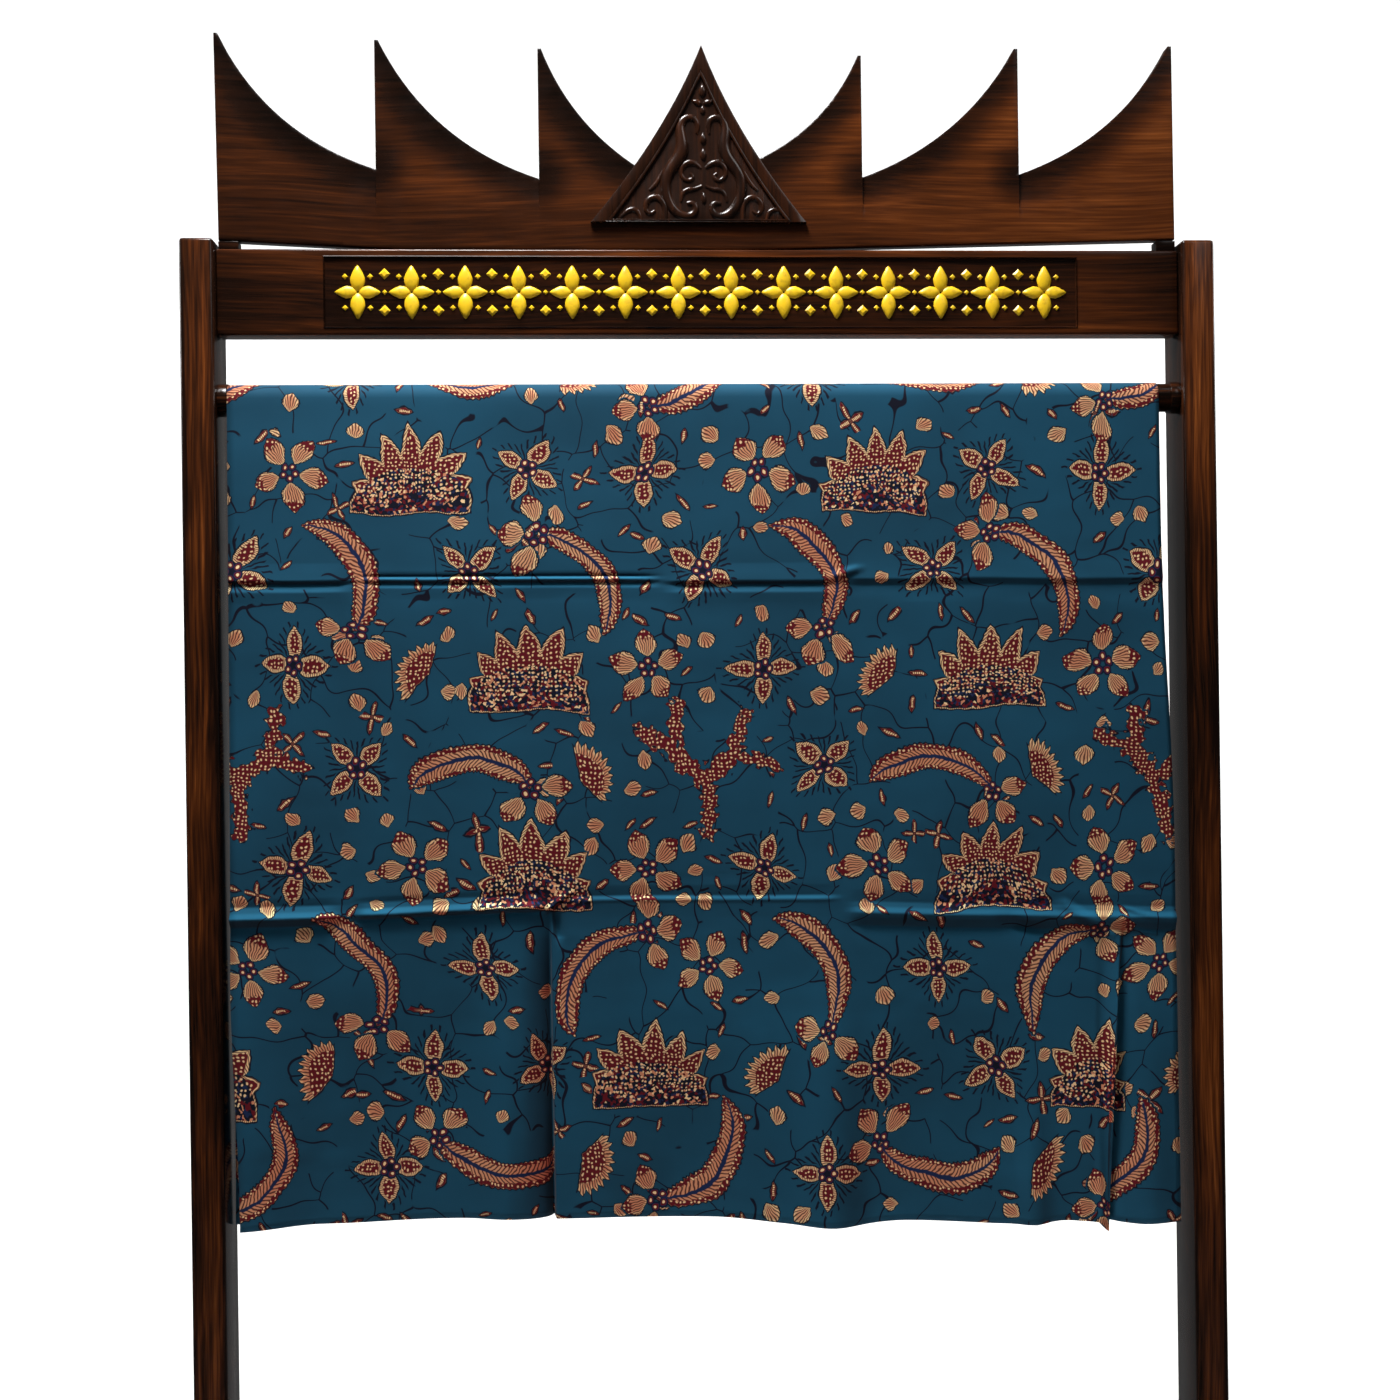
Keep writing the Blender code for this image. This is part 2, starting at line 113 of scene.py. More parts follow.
class Finish:
    """A material for one kind of surface."""

    def __init__(self, name):
        self.material = bpy.data.materials.new(name)
        self.material.use_nodes = True
        self.tree = self.material.node_tree
        self.tree.nodes.clear()

    def add(self, kind, settings, sockets, output=0):
        """Adds a node: its settings first, then the values or links of its sockets."""
        node = self.tree.nodes.new("ShaderNode" + kind)
        for name, value in settings.items():
            if name == "stops":
                ramp = node.color_ramp.elements
                while len(ramp) < len(value):
                    ramp.new(1.0)
                for element, (place, colour) in zip(ramp, value):
                    element.position = place
                    element.color = (*colour, 1.0)
            elif name == "interpolation":
                node.color_ramp.interpolation = value
            else:
                setattr(node, name, value)
        for key, value in sockets.items():
            if isinstance(value, Value):
                self.tree.links.new(value.socket, node.inputs[key])
            else:
                node.inputs[key].default_value = value
        return Value(self, node.outputs[output])

    def part(self, place, axis):
        """One coordinate of a place."""
        return self.add("SeparateXYZ", {}, {0: place}, axis)

    def blend(self, share, first, second):
        """The first colour where share is 0 and the second where it is 1."""
        sides = [side if isinstance(side, Value) else (*side, 1.0) for side in (first, second)]
        return self.add("Mix", {"data_type": "RGBA"}, {0: share, 6: sides[0], 7: sides[1]}, 2)

    def choose(self, share, first, second):
        """The first number where share is 0 and the second where it is 1."""
        return self.add("Mix", {"data_type": "FLOAT"}, {0: share, 2: first, 3: second})

    def speckle(self, place, scale, detail=2.0, roughness=0.5, distortion=0.0, flat=False, output=0):
        settings = {"noise_dimensions": "2D" if flat else "3D"}
        sockets = {"Vector": place, "Scale": scale, "Detail": detail}
        sockets |= {"Roughness": roughness, "Distortion": distortion}
        return self.add("TexNoise", settings, sockets, output)

    def surface(self, sockets):
        shader = self.add("BsdfPrincipled", {}, sockets)
        target = self.tree.nodes.new("ShaderNodeOutputMaterial")
        self.tree.links.new(shader.socket, target.inputs["Surface"])
        return self.material


WOOD_TONES = (
    (0.0, (0.0040, 0.0020, 0.0013)),
    (0.30, (0.0120, 0.0045, 0.0024)),
    (0.50, (0.034, 0.0098, 0.0034)),
    (0.68, (0.076, 0.0195, 0.0050)),
    (0.84, (0.140, 0.037, 0.0080)),
    (1.0, (0.24, 0.070, 0.014)),
)
# How finely each part of the grain is drawn along it and across it, and how much of it shows.
STREAKS = dict(along=2.6, across=125.0, detail=6.0, roughness=0.62, distortion=0.35)
CLOUDS = dict(along=2.6, across=9.0, detail=3.0)
PORES = dict(along=9.0, across=300.0, detail=2.0, roughness=0.6)
STREAKS_SHOW, CLOUDS_SHOW, PORES_SHOW = 1.1, 1.4, 1.1
SHADE_DEPTH = 0.50
SWAY = 0.026
SWAYS_OFTEN = 3.2
SHARP_FROM = math.radians(38)


def varnished_wood(name, grain_axis, seed, warmth, contrast=1.0, shade=None, gloss=0.22):
    """Stained wood whose grain runs along an axis; shade darkens it, from 1 in the open to 0."""
    wood = Finish(name)
    place = wood.add("TexCoord", {}, {}, "Object")
    # The grain wanders a little as it runs.
    sway = wood.speckle(place, SWAYS_OFTEN, 1.0, output=1)
    wavy = wood.add("VectorMath", {"operation": "MULTIPLY_ADD"}, {0: sway, 1: (SWAY,) * 3, 2: place})

    def grained(along, across, **look):
        """A pattern drawn out along the grain."""
        scale = [across] * 3
        scale[grain_axis] = along
        sockets = {"Vector": wavy, "Location": (seed, 1.7 * seed, 2.3 * seed), "Scale": scale}
        return wood.speckle(wood.add("Mapping", {}, sockets), 1.0, **look)

    streaks, clouds, pores = (grained(**part) for part in (STREAKS, CLOUDS, PORES))
    drift = (streaks - 0.5) * STREAKS_SHOW + (clouds - 0.5) * CLOUDS_SHOW + (pores - 0.5) * PORES_SHOW
    tone = drift * contrast + warmth
    if shade:
        tone = tone - (1.0 - shade(wood, place)) * SHADE_DEPTH
    colour = wood.add("ValToRGB", {"stops": WOOD_TONES}, {0: tone})
    wear = wood.speckle(place, 45.0, 3.0)
    relief = pores * 0.35 + streaks * 0.65
    bump = wood.add("Bump", {}, {"Strength": 0.22, "Distance": 0.0006, "Height": relief})
    return wood.surface(
        {
            "Base Color": colour,
            "Roughness": wear * 0.16 + 0.12,
            "Specular IOR Level": gloss,
            "Normal": bump,
        }
    )


def put_in_scene(name, data):
    thing = bpy.data.objects.new(name, data)
    bpy.context.scene.collection.objects.link(thing)
    return thing


def made_of(name, shape, material):
    """Makes a smooth-shaded object of a finished bmesh."""
    mesh = bpy.data.meshes.new(name)
    shape.to_mesh(mesh)
    shape.free()
    mesh.shade_smooth()
    mesh.materials.append(material)
    return put_in_scene(name, mesh)


def place_piece(name, shape, material, slot, *replaced):
    """Makes a piece of the rack, lets it stand for CAD nodes and rides it on the rack."""
    piece = made_of(name, shape, material)
    piece.data.set_sharp_from_angle(angle=SHARP_FROM)
    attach(piece, "root")
    if replaced:
        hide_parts(*replaced)
    return piece


def sawn_timber(low, high):
    """A length of timber between two corners, as it comes from the saw."""
    timber = bmesh.new()
    bmesh.ops.create_cube(timber, size=1.0)
    bmesh.ops.scale(timber, vec=high - low, verts=timber.verts)
    bmesh.ops.translate(timber, vec=(low + high) / 2, verts=timber.verts)
    return timber


def squared_timber(low, high, arris, steps=3):
    """The same with rounded arrises."""
    timber = sawn_timber(low, high)
    round_over(timber, timber.edges, arris, steps)
    return timber


def round_over(shape, edges, width, steps=2):
    bmesh.ops.bevel(
        shape,
        geom=list(edges),
        offset=width,
        offset_type="OFFSET",
        affect="EDGES",
        segments=steps,
        profile=0.5,
        material=-1,
    )


POST_ARRIS = 0.0042
POST_CONTRAST = 0.90
SIDES_DARKER = 0.9
LOW_DARKER = 0.26
TOP_PAINTED_SHADE = 0.46
TOP_FROM = 1.37
DARKENS_OVER = 0.16
POSTS = (
    dict(name="post_left", seed=3.1, warmth=0.74, low_from=1.25),
    dict(name="post_right", seed=8.4, warmth=0.73, low_from=1.47),
)


def post_shade(low, high, low_from):
    """Darker at both sides and below a height, with painted shade at the top."""
    centre, half = (low.x + high.x) / 2, (high.x - low.x) / 2

    def shade(wood, place):
        reach = abs(wood.part(place, X) - centre) / half
        to_sides = 1.0 - reach * reach * reach * SIDES_DARKER
        height = wood.part(place, Z)
        falling = ((height - low_from) / -DARKENS_OVER).clamped()
        # Painted shade darkens the tops, where the key lamp falls strongest.
        painted_top_shade = ((height - TOP_FROM) / DARKENS_OVER).clamped()
        return to_sides - falling * LOW_DARKER - painted_top_shade * TOP_PAINTED_SHADE

    return shade


for post in POSTS:
    name = post["name"]
    low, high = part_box(name)
    shade = post_shade(low, high, post["low_from"])
    finish = varnished_wood("wood_of_" + name, Z, post["seed"], post["warmth"], POST_CONTRAST, shade)
    place_piece("rack_" + name, squared_timber(low, high, POST_ARRIS), finish, "stained_wood", name)

# The feet and the stretcher: plain sled feet sawn to a low hump, and one low rail between the
# posts, of the same stained wood. The photo ends above them, so they are plain.

FOOT_ARRIS = 0.003
FOOT_TOE = 0.025
FOOT_HUMP = 0.070
FOOT_WARMTH = 0.46
UP_TO_TOUCH = 1e-4


def cut_across(shape, place, across):
    """Cuts a shape's faces along a plane and takes nothing away."""
    everything = shape.verts[:] + shape.edges[:] + shape.faces[:]
    bmesh.ops.bisect_plane(shape, geom=everything, dist=1e-6, plane_co=place, plane_no=across)


def sled_foot(low, high):
    """The foot as a block whose upper face is drawn in to the hump and dropped to the toes."""
    foot = sawn_timber(low, high)
    for hump_y in (-FOOT_HUMP, FOOT_HUMP):
        cut_across(foot, (0, hump_y, 0), (0, 1, 0))
    for corner in foot.verts:
        on_top = corner.co.z > high.z - UP_TO_TOUCH
        if on_top and abs(corner.co.y) > FOOT_HUMP + UP_TO_TOUCH:
            corner.co.z = low.z + FOOT_TOE
    sharp = [edge for edge in foot.edges if edge.is_manifold and edge.calc_face_angle() > 0.5]
    round_over(foot, sharp, FOOT_ARRIS)
    return foot


for name, seed in (("foot_left", 12.2), ("foot_right", 15.9)):
    finish = varnished_wood("wood_of_" + name, Y, seed, FOOT_WARMTH)
    place_piece("rack_" + name, sled_foot(*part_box(name)), finish, "stained_wood", name)

stretcher = squared_timber(*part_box("stretcher"), FOOT_ARRIS)
finish = varnished_wood("wood_of_stretcher", X, 21.0, FOOT_WARMTH)
place_piece("rack_stretcher", stretcher, finish, "stained_wood", "stretcher")

# The rod: a turned wooden rod, near black, let into a socket in each post. A short turned collar
# stands against the posts at both ends.

DARK_TONE = 0.14
ROD_STEPS = 72
ROD_ARRIS = 0.0010
COLLAR_LENGTH = 0.011
COLLAR_PROUD = 0.0022
COLLAR_ARRIS = 0.0012
rod_low, rod_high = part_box("cloth_rod")
rod_radius = (rod_high.z - rod_low.z) / 2
rod_axis = Vector((0.0, (rod_low.y + rod_high.y) / 2, (rod_low.z + rod_high.z) / 2))
inner_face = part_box("post_right")[0].x


def turned(radius, from_x, to_x, arris):
    """A round length of wood along the rod's axis."""
    length = to_x - from_x
    rod = bmesh.new()
    bmesh.ops.create_cone(
        rod, cap_ends=True, segments=ROD_STEPS, radius1=radius, radius2=radius, depth=length
    )
    rims = [edge for edge in rod.edges if edge.is_manifold and edge.calc_face_angle() > 1.0]
    round_over(rod, rims, arris)
    bmesh.ops.rotate(rod, cent=(0, 0, 0), matrix=Matrix.Rotation(math.pi / 2, 3, "Y"), verts=rod.verts)
    centre = rod_axis + Vector(((from_x + to_x) / 2, 0, 0))
    bmesh.ops.translate(rod, vec=centre, verts=rod.verts)
    return rod


finish = varnished_wood("wood_of_rod", X, 30.0, DARK_TONE)
rod = turned(rod_radius, rod_low.x, rod_high.x, ROD_ARRIS)
place_piece("hanging_rod", rod, finish, "dark_wood", "cloth_rod")
for name, side in (("rod_collar_left", -1), ("rod_collar_right", 1)):
    ends = sorted((side * inner_face, side * (inner_face - COLLAR_LENGTH)))
    collar = turned(rod_radius + COLLAR_PROUD, *ends, COLLAR_ARRIS)
    place_piece(name, collar, finish, "dark_wood")

# The top rail: a board tenoned between the posts. A long shallow panel is cut into its front and
# blackened, and a thin bead is left round the panel's edge.

RAIL_ARRIS = 0.0022
PANEL_HALF = 0.426
PANEL_MARGIN = 0.0075
PANEL_DEPTH = 0.0017
PANEL_SLOPE = 0.0014
PANEL_BEAD = 0.0012
PANEL_DARKER = 0.42
STAIN_EDGE = 0.001
ENDS_DARKER = 0.35
rail_low, rail_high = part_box("top_rail")
panel_low = Vector((-PANEL_HALF, rail_low.y, rail_low.z + PANEL_MARGIN))
panel_high = Vector((PANEL_HALF, rail_low.y, rail_high.z - PANEL_MARGIN))


def panelled_rail():
    rail = squared_timber(rail_low, rail_high, RAIL_ARRIS)
    cuts = (
        (panel_low, (1, 0, 0)),
        (panel_high, (1, 0, 0)),
        (panel_low, (0, 0, 1)),
        (panel_high, (0, 0, 1)),
    )
    for place, across in cuts:
        cut_across(rail, place, across)
    panel = [
        face
        for face in rail.faces
        if face.normal.y < -0.99
        and abs(face.calc_center_median().x) < PANEL_HALF
        and panel_low.z < face.calc_center_median().z < panel_high.z
    ]
    bmesh.ops.inset_region(rail, faces=panel, thickness=PANEL_SLOPE, depth=PANEL_BEAD)
    bmesh.ops.inset_region(rail, faces=panel, thickness=PANEL_SLOPE, depth=-PANEL_BEAD - PANEL_DEPTH)
    return rail


def panel_shade(wood, place):
    """Darker in the blackened panel and towards the ends."""
    x, y, z = (wood.part(place, axis) for axis in (X, Y, Z))
    inside = abs(x).below(PANEL_HALF, STAIN_EDGE)
    inside = inside * z.above(panel_low.z, STAIN_EDGE) * z.below(panel_high.z, STAIN_EDGE)
    sunk = y.below(rail_low.y + 2 * PANEL_DEPTH, 0.0005)
    ends = abs(x) / inner_face
    to_ends = ends * ends * ends * ends * ends
    return (1.0 - inside * sunk * PANEL_DARKER) * (1.0 - to_ends * ENDS_DARKER)


finish = varnished_wood("wood_of_top_rail", X, 41.3, 0.60, contrast=0.52, shade=panel_shade)
place_piece("rack_top_rail", panelled_rail(), finish, "stained_wood", "top_rail")

# The panel's ornament: a running row of carved four-petalled flowers and lozenges, left proud of
# the panel and picked out in yellow gloss paint.

PAINT_YELLOW = (0.86, 0.54, 0.010)
ORNAMENT_UNITS = 14
ORNAMENT_RISE = 0.0034
ROW_MARGIN = 0.008
PETAL_POINT = 0.55
PETAL_SIZE = Vector((0.0146, ORNAMENT_RISE, 0.0084))
PETAL_REACH = 0.0155
SHORT_WAY = 0.84
LOZENGE_HALF = 0.0090
LOZENGE_TOP = 0.35
CORNER = dict(x=0.0140, z=0.0175, size=0.55)
BETWEEN = dict(z=0.0205, size=1.05, middle_size=0.5)
WORN_YELLOW = (0.50, 0.27, 0.008)


def add_petal(row, centre, size, angle, reach):
    """A pointed petal, its root towards the centre."""
    made = bmesh.ops.create_uvsphere(row, u_segments=12, v_segments=8, radius=1.0)["verts"]
    for point in made:
        # Drawn to a point at its outer end.
        point.co.z *= 1 - PETAL_POINT * max(point.co.x, 0.0)
    bmesh.ops.scale(row, vec=size, verts=made)
    bmesh.ops.translate(row, vec=(reach, 0, 0), verts=made)
    bmesh.ops.rotate(row, cent=(0, 0, 0), matrix=Matrix.Rotation(angle, 3, "Y"), verts=made)
    bmesh.ops.translate(row, vec=centre, verts=made)


def add_lozenge(row, centre, half):
    top = LOZENGE_TOP * half
    made = bmesh.ops.create_cone(
        row, cap_ends=True, segments=4, radius1=half, radius2=top, depth=ORNAMENT_RISE
    )["verts"]
    bmesh.ops.rotate(row, cent=(0, 0, 0), matrix=Matrix.Rotation(math.pi / 2, 3, "X"), verts=made)
    bmesh.ops.translate(row, vec=centre, verts=made)


floor_of_panel = rail_low.y + PANEL_DEPTH
middle = (panel_low.z + panel_high.z) / 2
pitch = 2 * (PANEL_HALF - ROW_MARGIN) / ORNAMENT_UNITS
ornament = bmesh.new()
for unit in range(ORNAMENT_UNITS):
    x = (unit - (ORNAMENT_UNITS - 1) / 2) * pitch
    centre = Vector((x, floor_of_panel, middle))
    for quarter in range(4):
        angle = quarter * math.pi / 2
        size = 1.0 if quarter % 2 else SHORT_WAY
        add_petal(ornament, centre, PETAL_SIZE * size, angle, PETAL_REACH * size)
    for up in (-1, 1):
        for side in (-1, 1):
            spot = centre + Vector((side * CORNER["x"], 0, up * CORNER["z"]))
            add_lozenge(ornament, spot, LOZENGE_HALF * CORNER["size"])
    if unit:
        between = centre - Vector((pitch / 2, 0, 0))
        for up in (-1, 0, 1):
            spot = between + Vector((0, 0, up * BETWEEN["z"]))
            add_lozenge(ornament, spot, LOZENGE_HALF * BETWEEN["size" if up else "middle_size"])

paint = Finish("yellow_paint")
place = paint.add("TexCoord", {}, {}, "Object")
brushed = paint.speckle(place, 160.0, 3.0)
rubbed = paint.blend(brushed.above(0.62, 0.2) * 0.5, PAINT_YELLOW, WORN_YELLOW)
ridges = paint.add("Bump", {}, {"Strength": 0.3, "Distance": 0.0005, "Height": brushed})
yellow = paint.surface({"Base Color": rubbed, "Roughness": brushed * 0.2 + 0.28, "Normal": ridges})
place_piece("panel_ornament", ornament, yellow, "dark_wood")

# The crown: one board sawn into six horns. Each horn's face is shaved down towards its foot, so that it
# dips behind the upright edge of the next horn. The stain is dark along the hollow sawn edges, and
# painted shade darkens the shaved face where it dips behind the next horn.

CROWN_HALF = 0.541
CROWN_CELL = 0.005
CROWN_ARRIS = 0.0016
BLOCK_ARRIS = 0.0005
SEAT_FROM, SEAT_TO = -0.335, 0.040
LIFT_LEFT, LIFT_RIGHT = 0.0105, 0.0135
TIP_FLAT = 0.004
HORN_STEPS = 18
SHAVED = 0.0042
STEP_FOOT = 1.572
STEP_FADE = 0.062
STEP_HALF = 0.0004
EDGE_STAIN = 0.045
SHAVED_PAINTED_SHADE = 0.75
EDGE_TONE = 0.18
PALER_TO_RIGHT = 0.60
# Sawn by eye, the horns differ a little: the right half's from its end inwards, then the left's.
HORNS = (
    dict(tip_x=0.5400, tip_z=1.7760, foot_x=0.3613, foot_z=1.6290, hollow=0.098),
    dict(tip_x=0.3613, tip_z=1.7717, foot_x=0.1814, foot_z=1.6251, hollow=0.094),
    dict(tip_x=0.1814, tip_z=1.7625, foot_x=0.0620, foot_z=1.6450, hollow=0.096),
    dict(tip_x=-0.5438, tip_z=1.7820, foot_x=-0.3667, foot_z=1.6321, hollow=0.111),
    dict(tip_x=-0.3667, tip_z=1.7755, foot_x=-0.1850, foot_z=1.6221, hollow=0.108),
    dict(tip_x=-0.1850, tip_z=1.7675, foot_x=-0.0620, foot_z=1.6285, hollow=0.090),
)
crown_low, crown_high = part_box("crown_board")


def horn_back(horn):
    """Points down the hollow back of one horn, from its tip to its foot."""
    side = math.copysign(1.0, horn["tip_x"])
    tip = Vector((horn["tip_x"] - side * TIP_FLAT, horn["tip_z"]))
    chord = Vector((horn["foot_x"], horn["foot_z"])) - tip
    hollow = Vector((chord.y, -chord.x)) * side * horn["hollow"]
    shares = [step / HORN_STEPS for step in range(HORN_STEPS + 1)]
    return [tip + chord * share - hollow * 4 * share * (1 - share) for share in shares]


def crown_profile():
    """The board's outline: its warped foot, then the horns from right to left."""
    halves = ([], [])
    for horn in HORNS:
        half = halves[horn["tip_x"] < 0]
        half += [Vector((horn["tip_x"], horn["tip_z"]))] + horn_back(horn)
    right, left = halves[0], halves[1][::-1]
    rail_top = rail_high.z
    foot = [
        Vector((-CROWN_HALF, rail_top + LIFT_LEFT)),
        Vector((SEAT_FROM, crown_low.z)),
        Vector((SEAT_TO, crown_low.z)),
        Vector((CROWN_HALF, rail_top + LIFT_RIGHT)),
    ]
    return foot + right + left


def eased(share):
    share = min(max(share, 0.0), 1.0)
    return share * share * (3 - 2 * share)


def shaved_depth(x, z):
    """How far the face is shaved back at a point."""
    for horn in HORNS:
        across = (horn["tip_x"] - x) / (horn["tip_x"] - horn["foot_x"])
        if 0.0 <= across < 1.0:
            return SHAVED * across * across * eased((z - STEP_FOOT) / STEP_FADE)
    return 0.0


def gap_to(point, start, end):
    """Distance of a point from the stretch between two others."""
    along = end - start
    share = min(max((point - start).dot(along) / max(along.length_squared, 1e-12), 0.0), 1.0)
    return (point - start - along * share).length


def slice_up(shape, first, last, pitch, axis):
    """Cuts a shape across by planes at an even pitch."""
    across = Vector((0, 0, 0))
    across[axis] = 1.0
    count = int((last - first) / pitch)
    for step in range(1, count):
        cut_across(shape, across * (first + (last - first) * step / count), across)


def sawn_board(profile, front, thickness, arris):
    """A board sawn to a profile of (x, z) points, its rims rounded."""
    board = bmesh.new()
    corners = [board.verts.new((point.x, front, point.y)) for point in profile]
    face = board.faces.new(corners)
    pushed = bmesh.ops.extrude_face_region(board, geom=[face])["geom"]
    back = [part for part in pushed if isinstance(part, bmesh.types.BMVert)]
    bmesh.ops.translate(board, vec=(0, thickness, 0), verts=back)
    bmesh.ops.recalc_face_normals(board, faces=board.faces)
    rims = [
        edge
        for edge in board.edges
        if abs(edge.verts[0].co.y - edge.verts[1].co.y) < 1e-6 and abs(edge.calc_face_angle(0.0)) > 1.0
    ]
    round_over(board, rims, arris)
    return board


def mark_stain_and_shade(shape, backs, reach):
    """Writes how open each point lies, from 0 at a hollow sawn edge where the stain is dark, lowered on
    the shaved face as painted shade, for the finish to shade by.
    """
    layer = shape.verts.layers.float.new("open")
    sides = [side for back in backs for side in zip(back, back[1:])]
    for vert in shape.verts:
        spot = Vector((vert.co.x, vert.co.z))
        opened = eased(min(gap_to(spot, *side) for side in sides) / reach)
        sunk = shaved_depth(vert.co.x, vert.co.z) / SHAVED
        # Painted shade: the shaved face darkens towards the next horn's upright edge.
        vert[layer] = opened * (1 - SHAVED_PAINTED_SHADE * sunk * sunk)


profile = crown_profile()
crown = sawn_board(profile, crown_low.y, crown_high.y - crown_low.y, CROWN_ARRIS)
for axis in (X, Z):
    slice_up(crown, crown_low[axis], crown_high[axis], CROWN_CELL, axis)
for horn in HORNS:
    for nudge in (-STEP_HALF, STEP_HALF):
        cut_across(crown, (horn["foot_x"] + nudge, 0, 0), (1, 0, 0))
mark_stain_and_shade(crown, [horn_back(horn) for horn in HORNS], EDGE_STAIN)
half_way = (crown_low.y + crown_high.y) / 2
for vert in crown.verts:
    if vert.co.y < half_way:
        vert.co.y += shaved_depth(vert.co.x, vert.co.z)


def horn_shade(wood, place):
    """Stained dark at the sawn edges, with painted shade on the shaved faces, and a little paler to the
    right.
    """
    across = wood.part(place, X)
    opened = wood.add("Attribute", {"attribute_name": "open"}, {}, "Fac")
    return opened * (1 - EDGE_TONE) + across * PALER_TO_RIGHT + EDGE_TONE


finish = varnished_wood("wood_of_crown", X, 55.2, 0.585, contrast=0.45, shade=horn_shade)
place_piece("rack_crown", crown, finish, "stained_wood", "crown_board")

for name in ("crown_block_left", "crown_block_right"):
    block = squared_timber(*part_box(name), BLOCK_ARRIS)
    finish = varnished_wood("wood_of_" + name, X, 61.0, DARK_TONE)
    place_piece("rack_" + name, block, finish, "dark_wood", name)

# The gable: a three-cornered board with hollow sides on the crown's front. A border is left standing
# round its sunk ground, with a sharp bead inside it, and it is stained nearly black.

GABLE_APEX = 1.7705
GABLE_BASE = 1.5705
GABLE_SLOPE = 0.39
GABLE_FLARE = 1.10
GABLE_OFF_MIDDLE = -0.001
GABLE_LEAN = -0.024
GABLE_STEPS = 16
GABLE_ARRIS = 0.0002
GROUND_APEX = 1.742
GROUND_BASE = 1.5722
BORDER = 0.0085
BORDER_AT_APEX = 1.2
BORDER_GROWS = 4.0
BORDER_ROOT = 0.0010
GROUND_DEPTH = 0.0024
BEAD = 0.0009
BEAD_APEX = 1.735
BEAD_BASE = 1.5742
BEAD_WIDTH = 0.0022
BEAD_PROUD = 0.0004
BEAD_ROOT = 0.0006
gable_low, gable_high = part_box("crown_gable")


def gable_profile(apex, base, inset):
    """The gable's outline from its apex down the right side and back up the left."""
    right, left = [], []
    for step in range(GABLE_STEPS + 1):
        z = apex + (base - apex) * step / GABLE_STEPS
        depth = GABLE_APEX - z
        width = GABLE_SLOPE * depth + GABLE_FLARE * depth * depth
        width -= inset * (BORDER_AT_APEX + BORDER_GROWS * depth)
        width = max(width, 0.0) if step else 0.0
        middle = GABLE_OFF_MIDDLE + GABLE_LEAN * depth
        right.append(Vector((middle + width, z)))
        left.append(Vector((middle - width, z)))
    return right + left[:0:-1]


def border_of(outer, inner, front, thickness):
    """A frame between two loops of as many points, its front rims rounded."""
    border = bmesh.new()
    back = front + thickness
    rings = [
        [border.verts.new((point.x, y, point.y)) for point in loop]
        for loop, y in ((outer, front), (inner, front), (inner, back), (outer, back))
    ]
    count = len(outer)
    for ring, beyond in zip(rings, rings[1:] + rings[:1]):
        for index in range(count):
            after = (index + 1) % count
            border.faces.new((ring[index], ring[after], beyond[after], beyond[index]))
    bmesh.ops.recalc_face_normals(border, faces=border.faces)
    rims = [
        edge
        for edge in border.edges
        if max(vert.co.y for vert in edge.verts) < front + 1e-6 and edge.calc_face_angle() > 1.0
    ]
    round_over(border, rims, BEAD)
    return border


def take_in(shape, other):
    """Adds another shape's faces to this one."""
    mesh = bpy.data.meshes.new("taken")
    other.to_mesh(mesh)
    other.free()
    shape.from_mesh(mesh)
    bpy.data.meshes.remove(mesh)


outline = gable_profile(GABLE_APEX, GABLE_BASE, 0.0)
ground_line = gable_profile(GROUND_APEX, GROUND_BASE, BORDER)
bead_line = gable_profile(BEAD_APEX, BEAD_BASE, BORDER + BEAD_WIDTH)
ground_y = gable_low.y + GROUND_DEPTH
gable = sawn_board(outline, ground_y, gable_high.y - ground_y, GABLE_ARRIS)
take_in(gable, border_of(outline, ground_line, gable_low.y, GROUND_DEPTH + BORDER_ROOT))
take_in(gable, border_of(ground_line, bead_line, gable_low.y - BEAD_PROUD, GROUND_DEPTH + BEAD_ROOT))
finish = varnished_wood("wood_of_gable", Z, 70.7, 0.33, contrast=0.30, gloss=0.36)
place_piece("rack_gable", gable, finish, "dark_wood", "crown_gable")

# The gable's carving: a pair of swelling scrolls, curls, half scrolls and a trefoil, cut in the
# round and cleaned with a gouge. They stand up from the sunk ground to just above the border.

CARVING_RISE = 0.62
STROKE_WEIGHT = 1.15
# The right half's strokes as (x, z, half thickness) in millimetres from the middle of its foot.
STROKES = (
    ((7, 99, 1.6), (5, 108, 2.6), (10, 117, 3.1), (20, 117, 3.6), (26, 108, 4.4), (25, 96, 5.8),
     (23, 84, 6.6), (27, 72, 6.6), (36, 61, 6.0), (43, 48, 5.4), (43, 33, 5.2), (38, 18, 4.8),
     (28, 7, 4.4), (15, 5, 3.8), (8, 13, 3.2), (12, 22, 2.8), (19, 20, 2.0)),
    ((3, 60, 1.4), (8, 65, 2.6), (16, 67, 3.2), (24, 62, 2.8), (26, 53, 2.3), (21, 46, 2.2),
     (14, 46, 2.2), (11, 51, 1.9), (15, 54, 1.4)),
    ((2, 40, 1.5), (9, 36, 2.2), (18, 36, 2.5), (25, 31, 2.2), (26, 22, 1.4)),
    ((44, 2, 2.2), (43, 14, 2.8), (48, 25, 3.1), (57, 28, 3.1), (65, 22, 2.8), (66, 12, 2.4),
     (60, 7, 2.0), (55, 12, 1.5)),
    ((71, 2, 1.8), (73, 10, 2.4), (80, 14, 2.6), (88, 11, 2.2), (94, 4, 1.5)),
    ((46, 56, 1.4), (50, 48, 2.2), (55, 40, 2.4), (61, 35, 1.6)),
)
